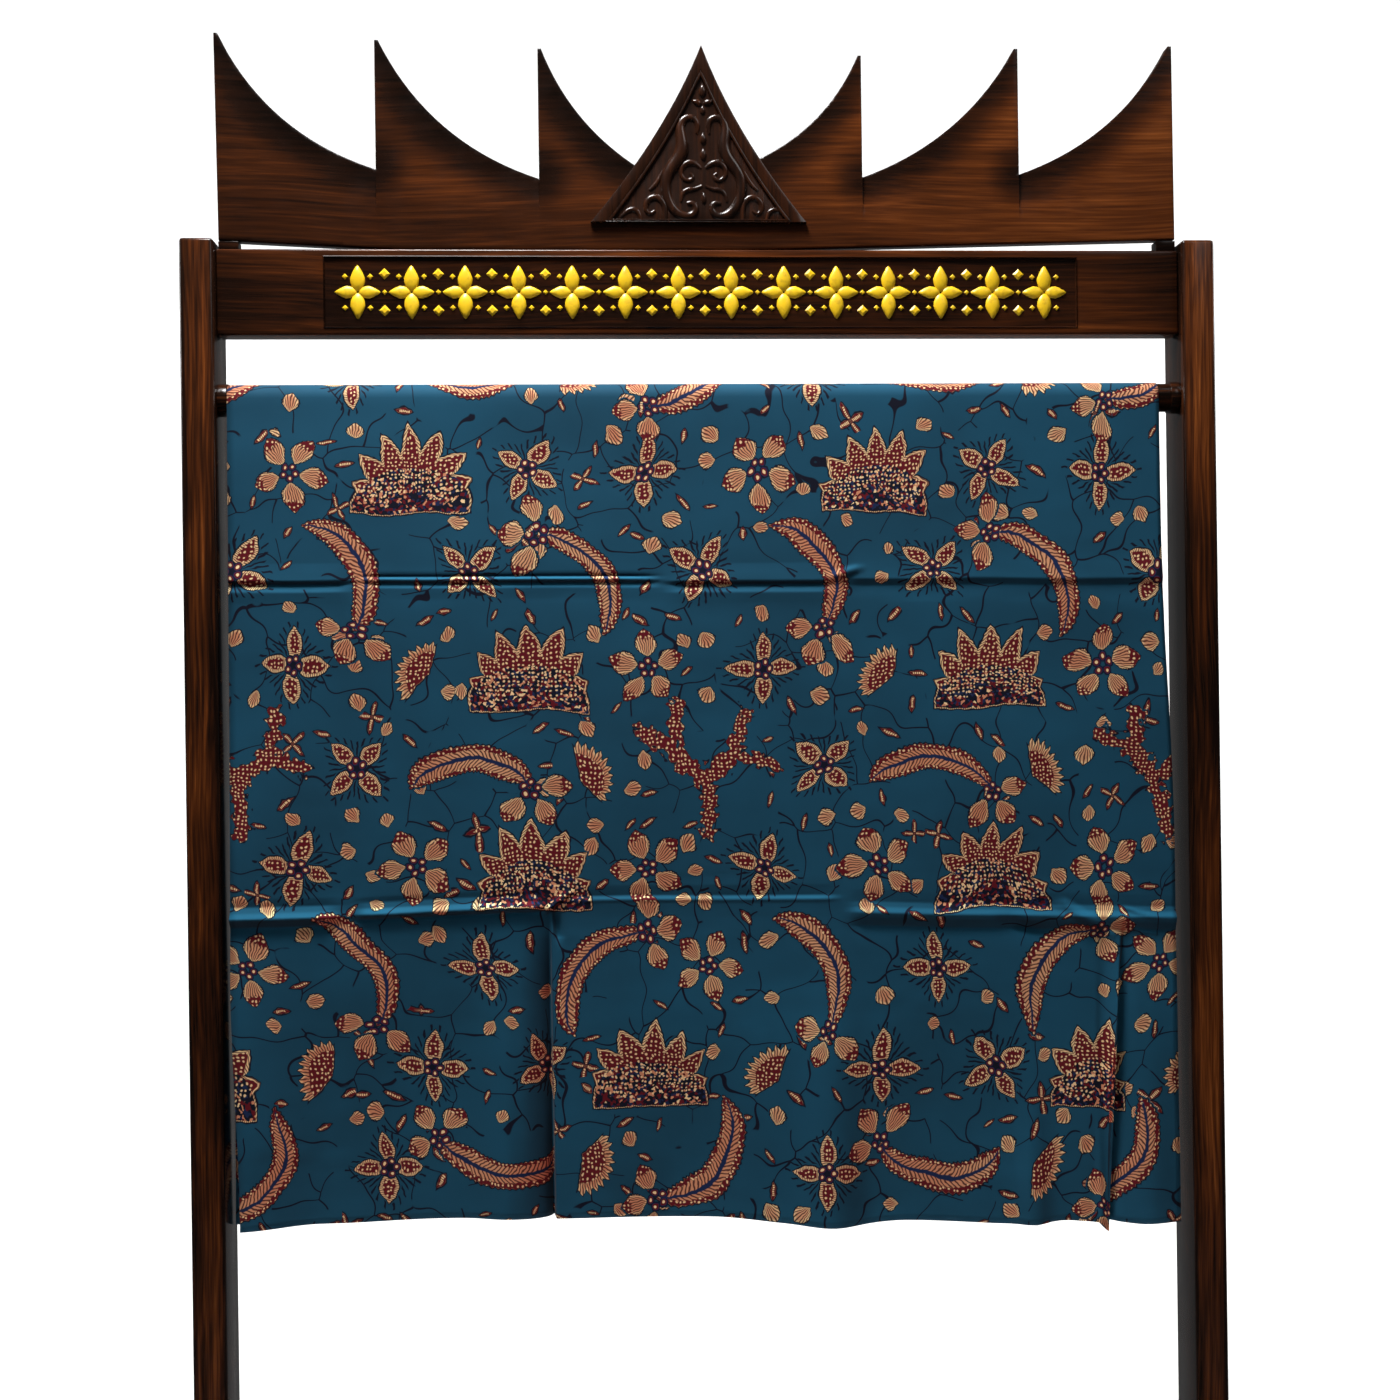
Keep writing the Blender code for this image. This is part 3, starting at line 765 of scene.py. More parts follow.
# Its lobes as (x, z, half length, half width, lean in degrees).
LOBES = (
    (0, 147, 8.0, 4.4, 90), (6.5, 134, 6.2, 3.8, 20), (0, 125, 5.5, 3.2, 90), (0, 93, 7.0, 4.0, 90),
    (0, 75, 7.5, 3.8, 90), (0, 26, 7.0, 3.2, 90), (9.5, 17, 4.5, 3.4, 70),
)
LOBE_DEEP = 4.2
MM = 0.001


def carved_stroke(points, side):
    """One swelling stroke of the carving as a mesh."""
    path = bpy.data.curves.new("stroke", "CURVE")
    path.dimensions = "3D"
    path.bevel_depth = MM
    path.bevel_resolution = 4
    path.use_fill_caps = True
    path.resolution_u = 6
    spline = path.splines.new("NURBS")
    spline.points.add(len(points) - 1)
    for point, (x, z, half) in zip(spline.points, points):
        point.co = (side * x * MM, 0.0, z * MM, 1.0)
        point.radius = half * STROKE_WEIGHT
    spline.order_u = 3
    spline.use_endpoint_u = True
    drawn = put_in_scene("stroke", path)
    bpy.context.view_layer.update()
    finished = drawn.evaluated_get(bpy.context.evaluated_depsgraph_get())
    mesh = bpy.data.meshes.new_from_object(finished)
    bpy.data.objects.remove(drawn)
    return mesh


carving = bmesh.new()
for side in (-1, 1):
    for points in STROKES:
        mesh = carved_stroke(points, side)
        carving.from_mesh(mesh)
        bpy.data.meshes.remove(mesh)
bmesh.ops.remove_doubles(carving, verts=carving.verts, dist=1e-6)
for x, z, long, wide, lean in LOBES:
    for side in (-1, 1) if x else (1,):
        size = Vector((long, min(wide, LOBE_DEEP), wide)) * MM
        turn = math.radians(lean if side > 0 else 180 - lean)
        add_petal(carving, Vector((side * x, 0, z)) * MM, size, -turn, 0.0)
bmesh.ops.scale(carving, vec=(1, CARVING_RISE, 1), verts=carving.verts)
bmesh.ops.translate(carving, vec=(0, ground_y, GROUND_BASE), verts=carving.verts)
bmesh.ops.recalc_face_normals(carving, faces=carving.faces)
finish = varnished_wood("wood_of_carving", Z, 77.1, 0.38, contrast=0.4, gloss=0.5)
place_piece("gable_carving", carving, finish, "dark_wood")

# The cloth: one length of cotton, drawn by hand in wax and dyed, laid over the rod at its middle.
# It still shows the creases it was stored in, and a pleat that has slipped together at its right.

CLOTH_THICKNESS = 0.0005
SEAT_GAP = 0.0005
HALF_WIDTH_TOP = 0.525
HALF_WIDTH_HEM = 0.529
FRONT_FALL = 0.926
BACK_FALL = 0.922
# It hangs a little askew: its hem is this much lower for each metre to the right.
SKEW = 0.026
# It lies this much to the left of the rod's middle.
OFF_MIDDLE = -0.0075
BACK_SWING = 0.010
BACK_SWAY = 0.005
BACK_WAVES = 6.0
TURN_STEPS = 14
# The lattice of the sheet, finer where it is creased: each band as (its end, its equal steps).
COLUMN_BANDS = (
    (-0.44, 34), (-0.355, 14), (-0.315, 18), (-0.24, 10), (0.20, 26), (0.38, 14), (0.76, 22),
    (0.92, 44), (1.00, 8),
)
FRONT_BANDS = ((0.185, 18), (0.232, 38), (0.535, 30), (0.610, 52), (FRONT_FALL, 40))
BACK_BANDS = ((0.60, 18), (BACK_FALL, 14))
# The profiles of pressed creases, as (distance below its line, how far forward) in millimetres.
THIN_RIDGE = ((-11, 0), (-8, -0.4), (-5.5, -1.8), (-1.6, 1.9), (2.2, -2.0), (7.5, 0.3), (20, 0))
BROAD_RIDGE = ((-20, 0), (-14, -0.8), (-7, 1.0), (-1, 6.4), (0.6, 6.2), (5.0, -0.6), (9, 0.2), (26, 0))
LEFT_RIDGE = ((-22, 0), (-13, -0.8), (-6, 2.4), (0, 7.4), (3, 5.0), (9.5, -1.0), (26, 0))
LOW_RIDGE = ((-16, 0), (-4, -1.3), (0.5, 1.6), (4, 0.6), (20, 0))
DARK_THEN_LIT = ((-24, 0), (-4, 1.8), (0, -2.2), (9, 1.0), (24, 0))
SLACK_RIDGE = ((-26, 0), (-13, -0.8), (-7, 1.0), (-1, 5.2), (4, 3.8), (14, -1.6), (34, 0))
FAINT_LINE = ((-30, 0), (-6, 1.8), (1, -1.0), (24, 0))
# The creases, one for each stretch of the width, as (drop, tilt, from x, to x, profile).
CROSS_CREASES = (
    (0.2100, 0.000, -0.60, -0.385, DARK_THEN_LIT),
    (0.2070, 0.000, -0.385, -0.045, THIN_RIDGE),
    (0.2110, 0.000, -0.045, 0.155, DARK_THEN_LIT),
    (0.2110, 0.000, 0.155, 0.60, FAINT_LINE),
    (0.5750, -0.020, -0.60, -0.40, LEFT_RIDGE),
    (0.5660, -0.040, -0.40, -0.17, BROAD_RIDGE),
    (0.5650, -0.005, -0.17, 0.155, LOW_RIDGE),
    (0.5780, 0.020, 0.155, 0.60, SLACK_RIDGE),
)
CREASE_FADE = 0.024
CREASE_WAVER = 0.0015
WAVERS_OFTEN = 9.0
# Folds that run down to the front hem, as (x, drop of its start, how far forward, half width).
FALL_FOLDS = (
    (-0.530, 0.30, 0.014, 0.110),
    (-0.330, 0.50, -0.006, 0.110),
    (-0.232, 0.54, 0.007, 0.045),
    (-0.040, 0.60, -0.005, 0.110),
    (0.137, 0.55, 0.010, 0.050),
    (0.363, 0.70, 0.007, 0.025),
    (0.449, 0.58, -0.010, 0.014),
    (0.500, 0.60, 0.007, 0.034),
)
# The valley at the left sinks slowly from its left and stands up at its right. It is shallow and
# rounded where it starts, and sharp towards the hem.
VALLEY_X = -0.1770
VALLEY_START = 0.555
VALLEY_FULL = 0.68
VALLEY_DEPTH = 0.024
VALLEY_SLOPE = 0.034
VALLEY_WALL = 0.0040
VALLEY_SHARPENS = 0.76
VALLEY_SHARP = 0.92
VALLEY_SHALLOW = 0.62
# Short folds and fine wrinkles: the knot where the valley starts, the slack under the crease's right
# end, and places where the cloth was gripped. Each is the (x, drop) of both its ends, how far it
# stands forward, and its half width.
SHORT_FOLDS = (
    ((-0.181, 0.578), (-0.152, 0.556), 0.0045, 0.0055),
    ((-0.17, 0.578), (-0.166, 0.609), -0.0045, 0.007),
    ((0.147, 0.204), (0.175, 0.193), 0.0035, 0.0065),
    ((0.174, 0.464), (0.248, 0.471), 0.001, 0.0035),
    ((0.225, 0.484), (0.333, 0.478), 0.0011, 0.0035),
    ((0.185, 0.501), (0.276, 0.504), 0.0009, 0.003),
    ((0.333, 0.587), (0.381, 0.607), -0.0035, 0.01),
    ((0.399, 0.571), (0.46, 0.609), 0.004, 0.01),
    ((0.47, 0.577), (0.506, 0.588), 0.0016, 0.004),
    ((0.466, 0.598), (0.506, 0.606), 0.0016, 0.004),
    ((0.186, 0.667), (0.272, 0.689), 0.001, 0.004),
    ((0.023, 0.707), (0.066, 0.721), 0.001, 0.0045),
    ((-0.512, 0.838), (-0.403, 0.858), 0.0012, 0.005),
    ((-0.11, 0.73), (-0.019, 0.737), 0.0009, 0.004),
)
PLEAT_X = 0.4705
PLEAT_LEAN = -0.045
PLEAT_SPAN = 0.015
PLEAT_TAKE_UP = 0.023
PLEAT_LIP = 0.012
PLEAT_REACH = 0.022
PLEAT_START = 0.56
PLEAT_FULL = 0.78
# How much lower than a straight line the hem hangs, as (x, lower).
HEM = (
    (-0.540, 0.008), (-0.440, 0.002), (-0.240, -0.003), (-0.186, -0.002), (-0.100, -0.003),
    (0.000, -0.003), (0.137, 0.008), (0.220, 0.001), (0.363, 0.006), (0.400, 0.002),
    (0.436, 0.004), (0.450, 0.014), (0.462, 0.002), (0.500, 0.005), (0.540, 0.004),
)
HEM_SHOWS = 0.7
# Its right edge stands out below the top, and its left hem is drawn in, each from a drop and over
# a further one: the left side's, then the right's.
DRAWN_RIGHT = 0.0095
DRAWN = (dict(start=0.65, over=0.27), dict(start=0.15, over=0.35))
# Below the rod the folds take this much of the fall to set in.
SET_IN = 0.06
RUMPLE = 0.0011
RUMPLES = (
    dict(x=5.0, z=9.0, seed=1.3, weight=1.6),
    dict(x=16.0, z=60.0, seed=4.1, weight=0.3),
)
CREASE_PAINTED_LIGHT = 1.5
CREASE_PAINTED_SHADE = 1.0


def hump(distance, half):
    return math.cos(min(abs(distance) / half, 1.0) * math.pi / 2) ** 2


def pressed(distance, profile):
    """How far forward a crease's profile stands at a distance below its line."""
    distance /= MM
    for (before, low), (after, high) in zip(profile, profile[1:]):
        if before <= distance < after:
            return (low + (high - low) * (distance - before) / (after - before)) * MM
    return 0.0


def crease_relief(x, drop):
    relief = 0.0
    for line, tilt, from_x, to_x, profile in CROSS_CREASES:
        inside = eased((x - from_x) / CREASE_FADE) * eased((to_x - x) / CREASE_FADE)
        if inside:
            waver = CREASE_WAVER * noise.noise((x * WAVERS_OFTEN, line * 50, 0))
            relief += inside * pressed(drop - (line + tilt * x + waver), profile)
    return relief


def fall_relief(x, drop):
    relief = 0.0
    for fold_x, start, forward, half in FALL_FOLDS:
        growth = eased((drop - start) / (FRONT_FALL - start))
        relief += forward * growth * hump(x - fold_x, half)
    return relief


def hem_drop(x):
    """How much lower than the straight line the hem hangs at x."""
    for (before, low), (after, lower) in zip(HEM, HEM[1:]):
        if x <= after:
            return low + (lower - low) * eased((x - before) / (after - before))
    return HEM[-1][1]


def short_relief(x, drop):
    relief = 0.0
    for start, end, forward, half in SHORT_FOLDS:
        run = Vector(end) - Vector(start)
        away = Vector((x, drop)) - Vector(start)
        share = min(max(away.dot(run) / run.length_squared, 0.0), 1.0)
        fading = math.sqrt(max(0.0, 1 - (2 * share - 1) ** 2)) * 0.7 + 0.3
        relief += forward * fading * hump((away - run * share).length, half)
    return relief


def valley_relief(x, drop):
    """The valley's slow slope down from the left and its steep wall."""
    growth = eased((drop - VALLEY_START) / (VALLEY_FULL - VALLEY_START))
    away = x - VALLEY_X
    share = min(max(1 + away / VALLEY_SLOPE, 0.0), 1.0)
    sharp = eased((drop - VALLEY_SHARPENS) / (VALLEY_SHARP - VALLEY_SHARPENS))
    if away < 0:
        soft_height, sharp_height = share * share, 1 - math.sqrt(1 - share * share)
        height = soft_height + (sharp_height - soft_height) * sharp
    else:
        height = 1 - eased(away / VALLEY_WALL)
    return -VALLEY_DEPTH * growth * height * (VALLEY_SHALLOW + (1 - VALLEY_SHALLOW) * sharp)


def pleat_growth(drop):
    return eased((drop - PLEAT_START) / (PLEAT_FULL - PLEAT_START))


def pleat_line(drop):
    return PLEAT_X + PLEAT_LEAN * (drop - PLEAT_START)


def pleat_shift(x, drop):
    """How far the pleat draws the cloth back under itself at x; it is let out by the edge."""
    start = pleat_line(drop) - PLEAT_SPAN / 2
    end = start + PLEAT_SPAN
    let_out = min(max((HALF_WIDTH_HEM - x) / (HALF_WIDTH_HEM - end), 0.0), 1.0)
    return PLEAT_TAKE_UP * pleat_growth(drop) * eased((x - start) / PLEAT_SPAN) * let_out


def pleat_relief(x, drop):
    """The pleat's lip stands forward and the cloth beyond it starts behind."""
    before = pleat_line(drop) - PLEAT_SPAN / 4
    after = before + PLEAT_SPAN / 2
    if x < before:
        height = hump(x - before, PLEAT_REACH)
    elif x > after:
        height = -hump(x - after, PLEAT_REACH)
    else:
        height = math.cos((x - before) / (after - before) * math.pi)
    return PLEAT_LIP * pleat_growth(drop) * height


def rumple(x, z):
    """Soft unevenness of hanging cotton, drawn out sideways, with a few fine wrinkles."""
    parts = (
        part["weight"] * noise.noise((x * part["x"], z * part["z"], part["seed"])) for part in RUMPLES
    )
    return RUMPLE * sum(parts)


def cloth_point(across, along):
    """The place of one point of the sheet; along is its part of the fall and the drop or angle."""
    part, value = along
    seat = rod_radius + SEAT_GAP + CLOTH_THICKNESS
    top_x = across * HALF_WIDTH_TOP + OFF_MIDDLE
    if part == "turn":
        return Vector((top_x, rod_axis.y - seat * math.cos(value), rod_axis.z + seat * math.sin(value)))
    if part == "front":
        share = value / FRONT_FALL
        x = across * (HALF_WIDTH_TOP + (HALF_WIDTH_HEM - HALF_WIDTH_TOP) * share)
        relief = crease_relief(x, value) + fall_relief(x, value) + short_relief(x, value)
        relief += valley_relief(x, value) + pleat_relief(x, value)
        relief = eased(value / SET_IN) * (relief + rumple(x, value))
        drop = value + SKEW * x * share + hem_drop(x) * eased((share - HEM_SHOWS) / (1 - HEM_SHOWS))
        x += OFF_MIDDLE - pleat_shift(x, value)
        side = DRAWN[across > 0]
        x += DRAWN_RIGHT * across * across * eased((value - side["start"]) / side["over"])
        return Vector((x, rod_axis.y - seat - relief, rod_axis.z - drop))
    share = value / BACK_FALL
    sway = BACK_SWAY * share * (1 + math.sin(BACK_WAVES * across))
    sway += eased(value / SET_IN) * rumple(top_x, -value)
    drop = value + BACK_SWAY * share * math.sin(BACK_WAVES * across + 1)
    return Vector((top_x - BACK_SWING * share, rod_axis.y + seat + sway, rod_axis.z - drop))


def stations(start, bands):
    """The places that the bands' equal steps give, the start included."""
    places = [start]
    for end, steps in bands:
        first = places[-1]
        places += [first + (end - first) * step / steps for step in range(1, steps + 1)]
    return places


columns = stations(-1.0, COLUMN_BANDS)
front_rows = [("front", drop) for drop in reversed(stations(0.0, FRONT_BANDS))]
turn_rows = [("turn", math.pi * step / TURN_STEPS) for step in range(1, TURN_STEPS)]
back_rows = [("back", drop) for drop in stations(0.0, BACK_BANDS)]
rows = front_rows + turn_rows + back_rows
sheet = bmesh.new()
worn = sheet.verts.layers.float.new("worn")
bmesh.ops.create_grid(sheet, x_segments=len(columns) - 1, y_segments=len(rows) - 1, size=1.0)
lattice = {}
for vert in sheet.verts:
    column = round((vert.co.x + 1) / 2 * (len(columns) - 1))
    row = round((vert.co.y + 1) / 2 * (len(rows) - 1))
    lattice[column, row] = vert
    vert.co = cloth_point(columns[column], rows[row])

# The place of each point on the flat cloth, in metres, measured along its surface.
middle_column = min(range(len(columns)), key=lambda column: abs(columns[column]))
down = [0.0]
for row in range(1, len(rows)):
    step = lattice[middle_column, row].co - lattice[middle_column, row - 1].co
    down.append(down[-1] + step.length)
flat_place = {}
for row in range(len(rows)):
    run = [0.0]
    for column in range(1, len(columns)):
        step = lattice[column, row].co - lattice[column - 1, row].co
        run.append(run[-1] + step.length)
    for column in range(len(columns)):
        flat_place[lattice[column, row]] = (run[column] - run[middle_column], down[row])
flat = sheet.loops.layers.uv.new("flat")
for face in sheet.faces:
    for loop in face.loops:
        loop[flat].uv = flat_place[loop.vert]

# Creases are painted paler where they face up (painted light) and darker where they face down or away
# from the light (painted shade).
sheet.normal_update()
for (column, row), vert in lattice.items():
    part, drop = rows[row]
    if part == "front":
        ridge = vert.normal.z * CREASE_PAINTED_LIGHT if vert.normal.z > 0 else vert.normal.z * CREASE_PAINTED_SHADE
        vert[worn] = eased(drop / SET_IN) * (ridge - max(vert.normal.x, 0.0) * CREASE_PAINTED_SHADE)

# The print, drawn on the flat cloth. Each motif gives its distance from its own edge in millimetres,
# which parts of it are wine red, and how its hatching runs; one shared hand then inks them all.

DROP_WIDTH = 0.130
DROP_HEIGHT = 0.112
CHART_COLUMNS = 4
CHART_ROWS = 8
STAR, BLOSSOM, FAN, PALMETTE, FREE = range(5)
# One entry for each place of the repeat: its motif, how far round it is turned in twelfths, and
# whether it is mirrored. The free places are the feathers' and the corals'.
CHART = (
    (FREE, 0, 0), (STAR, 1.5, 0), (FREE, 0, 0), (STAR, 1, 0),
    (BLOSSOM, 3, 0), (PALMETTE, 0, 0), (STAR, 1, 0), (STAR, 0, 0),
    (FREE, 0, 0), (STAR, 0, 0), (FREE, 0, 0), (FAN, 8, 1),
    (PALMETTE, 0, 0), (FAN, 2, 1), (STAR, 0, 0), (STAR, 2, 0),
    (FREE, 0, 0), (BLOSSOM, 5, 0), (FREE, 0, 0), (STAR, 0, 0),
    (PALMETTE, 0, 0), (BLOSSOM, 6, 0), (STAR, 0.5, 0), (BLOSSOM, 1, 0),
    (FREE, 0, 0), (FAN, 10, 1), (FREE, 0, 0), (STAR, 1.5, 0),
    (FAN, 10, 0), (PALMETTE, 0, 0), (BLOSSOM, 9, 0), (STAR, 0, 0),
)
REACH = {STAR: 50, BLOSSOM: 43, FAN: 42, PALMETTE: 64, FREE: 60}
KINDS = 8
REACH_SCALE = 200.0
# The wider lattice's own chart, two to a row: the turn of each in sixths, whether it is mirrored,
# and whether it is a coral rather than a feather.
WIDE_CHART = (
    (5, 1, 0), (1, 0, 0),
    (3, 1, 0), (4, 1, 0),
    (5, 1, 0), (1, 1, 0),
    (0, 1, 0), (0, 0, 1),
)

GROUND_HIGH = (0.0098, 0.073, 0.131)
GROUND_LOW = (0.0082, 0.054, 0.096)
INK = (0.0050, 0.0058, 0.016)
INK_BLUE = (0.010, 0.020, 0.070)
WINE = (0.120, 0.0055, 0.011)
DARK_WINE = (0.055, 0.0050, 0.0085)
PEACH = (0.62, 0.245, 0.130)
CREAM = (0.88, 0.60, 0.32)

batik = Finish("batik_cotton")
on_cloth = batik.add("UVMap", {"uv_map": "flat"}, {})


def vector(operation, *sockets, output=0):
    return batik.add("VectorMath", {"operation": operation}, dict(enumerate(sockets)), output)


def scaled(place, size):
    return batik.add("VectorMath", {"operation": "SCALE"}, {0: place, "Scale": size})


def parts_of(place):
    return batik.part(place, X), batik.part(place, Y)


def channel(colour, index):
    return batik.add("SeparateColor", {}, {0: colour}, index)


def turned_by(place, angle):
    return batik.add("VectorRotate", {"rotation_type": "Z_AXIS"}, {"Vector": place, "Angle": angle})


def stepped(value, stops):
    """The colour of the last stop that a number has come to."""
    return batik.add("ValToRGB", {"interpolation": "CONSTANT", "stops": stops}, {0: value})


def looked_up(entry, entries):
    """The chart's colour for an entry's number."""
    stops = [(index / len(entries), colour) for index, colour in enumerate(entries)]
    return stepped((entry + 0.5) / len(entries), stops)


def hypotenuse(first, second):
    return (first * first + second * second).math("SQRT")


def petal(along, across, root, tip, widest, half):
    """A petal's edge distance: a parabola across, widest part-way between its root and its tip."""
    share = (along - root) / (tip - root)
    off = (share - widest) / max(widest, 1 - widest)
    return across - (1.0 - off * off) * half


def folded(place, count):
    """Distances along and across the nearest of some rays round a point."""
    x, y = parts_of(place)
    out = vector("LENGTH", place, output=1)
    sector = math.tau / count
    fold = (y.math("ARCTAN2", x) / sector).zigzag(0.5) * sector
    return out * fold.math("COSINE"), out * fold.math("SINE")


# The hand's wobble: the whole drawing is pulled about a little, broadly and then finely.
on_cloth = vector("ADD", on_cloth, (2.0, 2.0, 0.0))
drawn = on_cloth
for often, pull in ((11.0, 0.022), (120.0, 0.0030)):
    wobble = batik.speckle(on_cloth, often, 1.0, flat=True, output=1)
    drawn = vector("MULTIPLY_ADD", wobble, (pull, pull, 0.0), drawn)


def in_repeat(place):
    """Where a point lies in its motif's cell, in millimetres, and the chart's entry for the cell."""
    u, v = parts_of(place)
    row = (v / DROP_HEIGHT).math("FLOOR")
    offset = u / DROP_WIDTH + row * 0.5
    column = offset.math("FLOOR")
    x = (offset - column - 0.5) * (DROP_WIDTH / MM)
    y = (v / DROP_HEIGHT - row - 0.5) * (DROP_HEIGHT / MM)
    entry = row % CHART_ROWS * CHART_COLUMNS + column % CHART_COLUMNS
    colours = [
        (kind / KINDS, turn / 12, REACH[kind] / REACH_SCALE + 0.5 * mirrored)
        for kind, turn, mirrored in CHART
    ]
    return x, y, looked_up(entry, colours)


x, y, charted = in_repeat(drawn)
kind = channel(charted, 0) * KINDS
mirrored = channel(charted, 2).above(0.5, 0.01)
x = x * (1.0 - mirrored * 2.0)
spot = turned_by(batik.add("CombineXYZ", {}, {0: x, 1: y}), channel(charted, 1) * math.tau)


def is_kind(number):
    return kind.math("COMPARE", float(number), 0.4)


# Added to the edge distance of a motif, or of a part of one, where it isn't drawn.
FAR_OFF = 90.0
CLEAR_OFF = 60.0

# Star: four petals with a combed rim and a wine heart, ringed by short strokes that point away.
STAR_PETAL = dict(root=9.0, tip=41.0, widest=0.40, half=9.6)
STAR_EYE = 10.0
STAR_HEART = 3.2
STROKES_ROUND = 30
STROKE_HALF = 1.05
STROKE_FROM, STROKE_TO = 3.0, 11.5
x, y = parts_of(spot)
longer = abs(x).at_least(abs(y))
shorter = abs(x).at_most(abs(y))
edge = petal(longer, shorter, **STAR_PETAL).at_least(STAR_EYE - longer)
core = edge.below(-STAR_HEART, 0.8)
hatch = longer * 2.1
star = is_kind(STAR)
wide = folded(spot, STROKES_ROUND)[1]
strokes = wide.below(STROKE_HALF, 0.5) * edge.above(STROKE_FROM, 0.6) * edge.below(STROKE_TO, 1.2)
strokes = strokes * star

# Blossom: five round hatched petals with torn wine-red ends, set apart about a ring of beads.
BLOSSOM_PETALS = 5
BLOSSOM_PETAL = dict(root=12.0, tip=39.5, widest=0.58, half=12.0)
TORN_FROM = 34.5
BEAD_RING = 7.6


def blossom(place):
    """A blossom's edge, torn ends, hatching and beads."""
    far, wide = folded(place, BLOSSOM_PETALS)
    shape = petal(far, wide, **BLOSSOM_PETAL) + far.zigzag(1.5) * 0.5
    torn_ends = (far + wide.zigzag(2.0) * 1.8).above(TORN_FROM, 0.8)
    lines = wide / (far + 4.0) * 48.0
    return shape, torn_ends, lines, hypotenuse(far - BEAD_RING, wide)


def drawn_over(chosen, shape, heart, lines):
    """Puts a motif's edge, wine-red parts and hatching in place of those drawn so far."""
    return tuple(
        batik.choose(chosen, before, after)
        for before, after in ((edge, shape), (core, heart), (hatch, lines))
    )


bloom, torn_ends, lines, beads = blossom(spot)
flowered = is_kind(BLOSSOM)
edge, core, hatch = drawn_over(flowered, bloom, torn_ends, lines)
beads = beads + (1.0 - flowered.at_least(star)) * FAR_OFF

# Fan: half a round of torn points, wine red inside.
FAN_FOOT = 20.0
FAN_RADIUS = 32.0
FAN_HEART = 27.0
FAN_SPREAD = 1.2
POINTS_OFTEN = 4.2
POINT_HEIGHT = 14.0
fan_spot = vector("ADD", spot, (0.0, FAN_FOOT, 0.0))
fan_x, fan_y = parts_of(fan_spot)
fan_out = vector("LENGTH", fan_spot, output=1)
fan_turn = fan_x.math("ARCTAN2", fan_y)
points = (fan_turn * POINTS_OFTEN).zigzag(0.5) * POINT_HEIGHT
fan = (fan_out - FAN_RADIUS - points).at_least((abs(fan_turn) - FAN_SPREAD) * fan_out)
edge, core, hatch = drawn_over(is_kind(FAN), fan, fan_out.below(FAN_HEART, 1.2), fan_turn * 44.0)

# Palmette: seven pointed leaves standing on a wide mound of small dabs.
PALMETTE_FOOT = 42.0
LEAF_PITCH = 0.39
LEAVES_ASIDE = 3.0
LEAF = dict(root=30.0, widest=0.40, half=13.0)
MIDDLE_TIP = 93.0
TIP_FALLS = 2.6
MOUND_RADIUS = 46.0
MOUND_BELOW = 6.0
root_spot = vector("ADD", spot, (0.0, PALMETTE_FOOT, 0.0))
root_x, root_y = parts_of(root_spot)
leaf_out = vector("LENGTH", root_spot, output=1)
leaf_turn = root_x.math("ARCTAN2", root_y)
leaf = (leaf_turn / LEAF_PITCH).math("ROUND").at_most(LEAVES_ASIDE).at_least(-LEAVES_ASIDE)
lean = leaf_turn - leaf * LEAF_PITCH
far, wide = leaf_out * lean.math("COSINE"), abs(leaf_out * lean.math("SINE"))
leaves = petal(far, wide, tip=MIDDLE_TIP - leaf * leaf * TIP_FALLS, **LEAF)
mound = hypotenuse(root_x * 0.72, root_y * 0.98) - MOUND_RADIUS
mound = mound.at_least(-root_y - MOUND_BELOW)
chosen = is_kind(PALMETTE)
leaf_heart = (leaves + (far - 60.0) * 0.05).below(-2.4, 0.9)
edge, core, hatch = drawn_over(chosen, leaves.at_most(mound), leaf_heart, (wide + far) * 1.4)
dabbed = mound.below(-0.8, 0.6) * chosen
edge = edge + is_kind(FREE) * FAR_OFF

# The wider lattice, whose motifs stand on the free places.
WIDE_WIDTH = 2 * DROP_WIDTH
WIDE_HEIGHT = 2 * DROP_HEIGHT
u, v = parts_of(drawn)
band = v / WIDE_HEIGHT + 0.25
row = band.math("FLOOR")
offset = u / WIDE_WIDTH + 0.25 - row % 2.0 * 0.5
column = offset.math("FLOOR")
entry = column % 2.0 + row % 4.0 * 2.0
charted = looked_up(entry, [(turn / 6, mirror, coral) for turn, mirror, coral in WIDE_CHART])
x = (offset - column - 0.5) * (WIDE_WIDTH / MM) * (1.0 - channel(charted, 1) * 2.0)
y = (band - row - 0.5) * (WIDE_HEIGHT / MM)
wide_spot = turned_by(batik.add("CombineXYZ", {}, {0: x, 1: y}), channel(charted, 0) * math.tau)
is_coral = channel(charted, 2)

# Coral: a knobbly branch, wine red all over and thick with dots. Each limb runs from one place to
# another and has a half thickness.
LIMBS = (
    ((6, -74), (-2, -14), 8.0), ((-2, -14), (-34, 20), 10.0), ((-34, 20), (-30, 62), 7.5),
    ((-34, 20), (-68, 36), 7.0), ((-2, -14), (32, 12), 9.0), ((32, 12), (44, 60), 7.0),
    ((32, 12), (72, 2), 6.5),
)
KNOBS = 22.0
coral = None
for start, end, thick in LIMBS:
    run = Vector((*end, 0.0)) - Vector((*start, 0.0))
    from_start = vector("SUBTRACT", wide_spot, (*start, 0.0))
    share = vector("DOT_PRODUCT", from_start, run / run.length_squared, output=1).clamped()
    limb = vector("DISTANCE", from_start, scaled(run, share), output=1) - thick
    coral = limb if coral is None else coral.at_most(limb)
knobs = batik.speckle(drawn, 105.0, 1.0, flat=True) - 0.5
coral = coral + knobs * KNOBS + (1.0 - is_coral) * FAR_OFF
grown = (edge - coral).above(0.0, 0.1)
edge = edge.at_most(coral)
core = batik.choose(grown, core, 1.0)

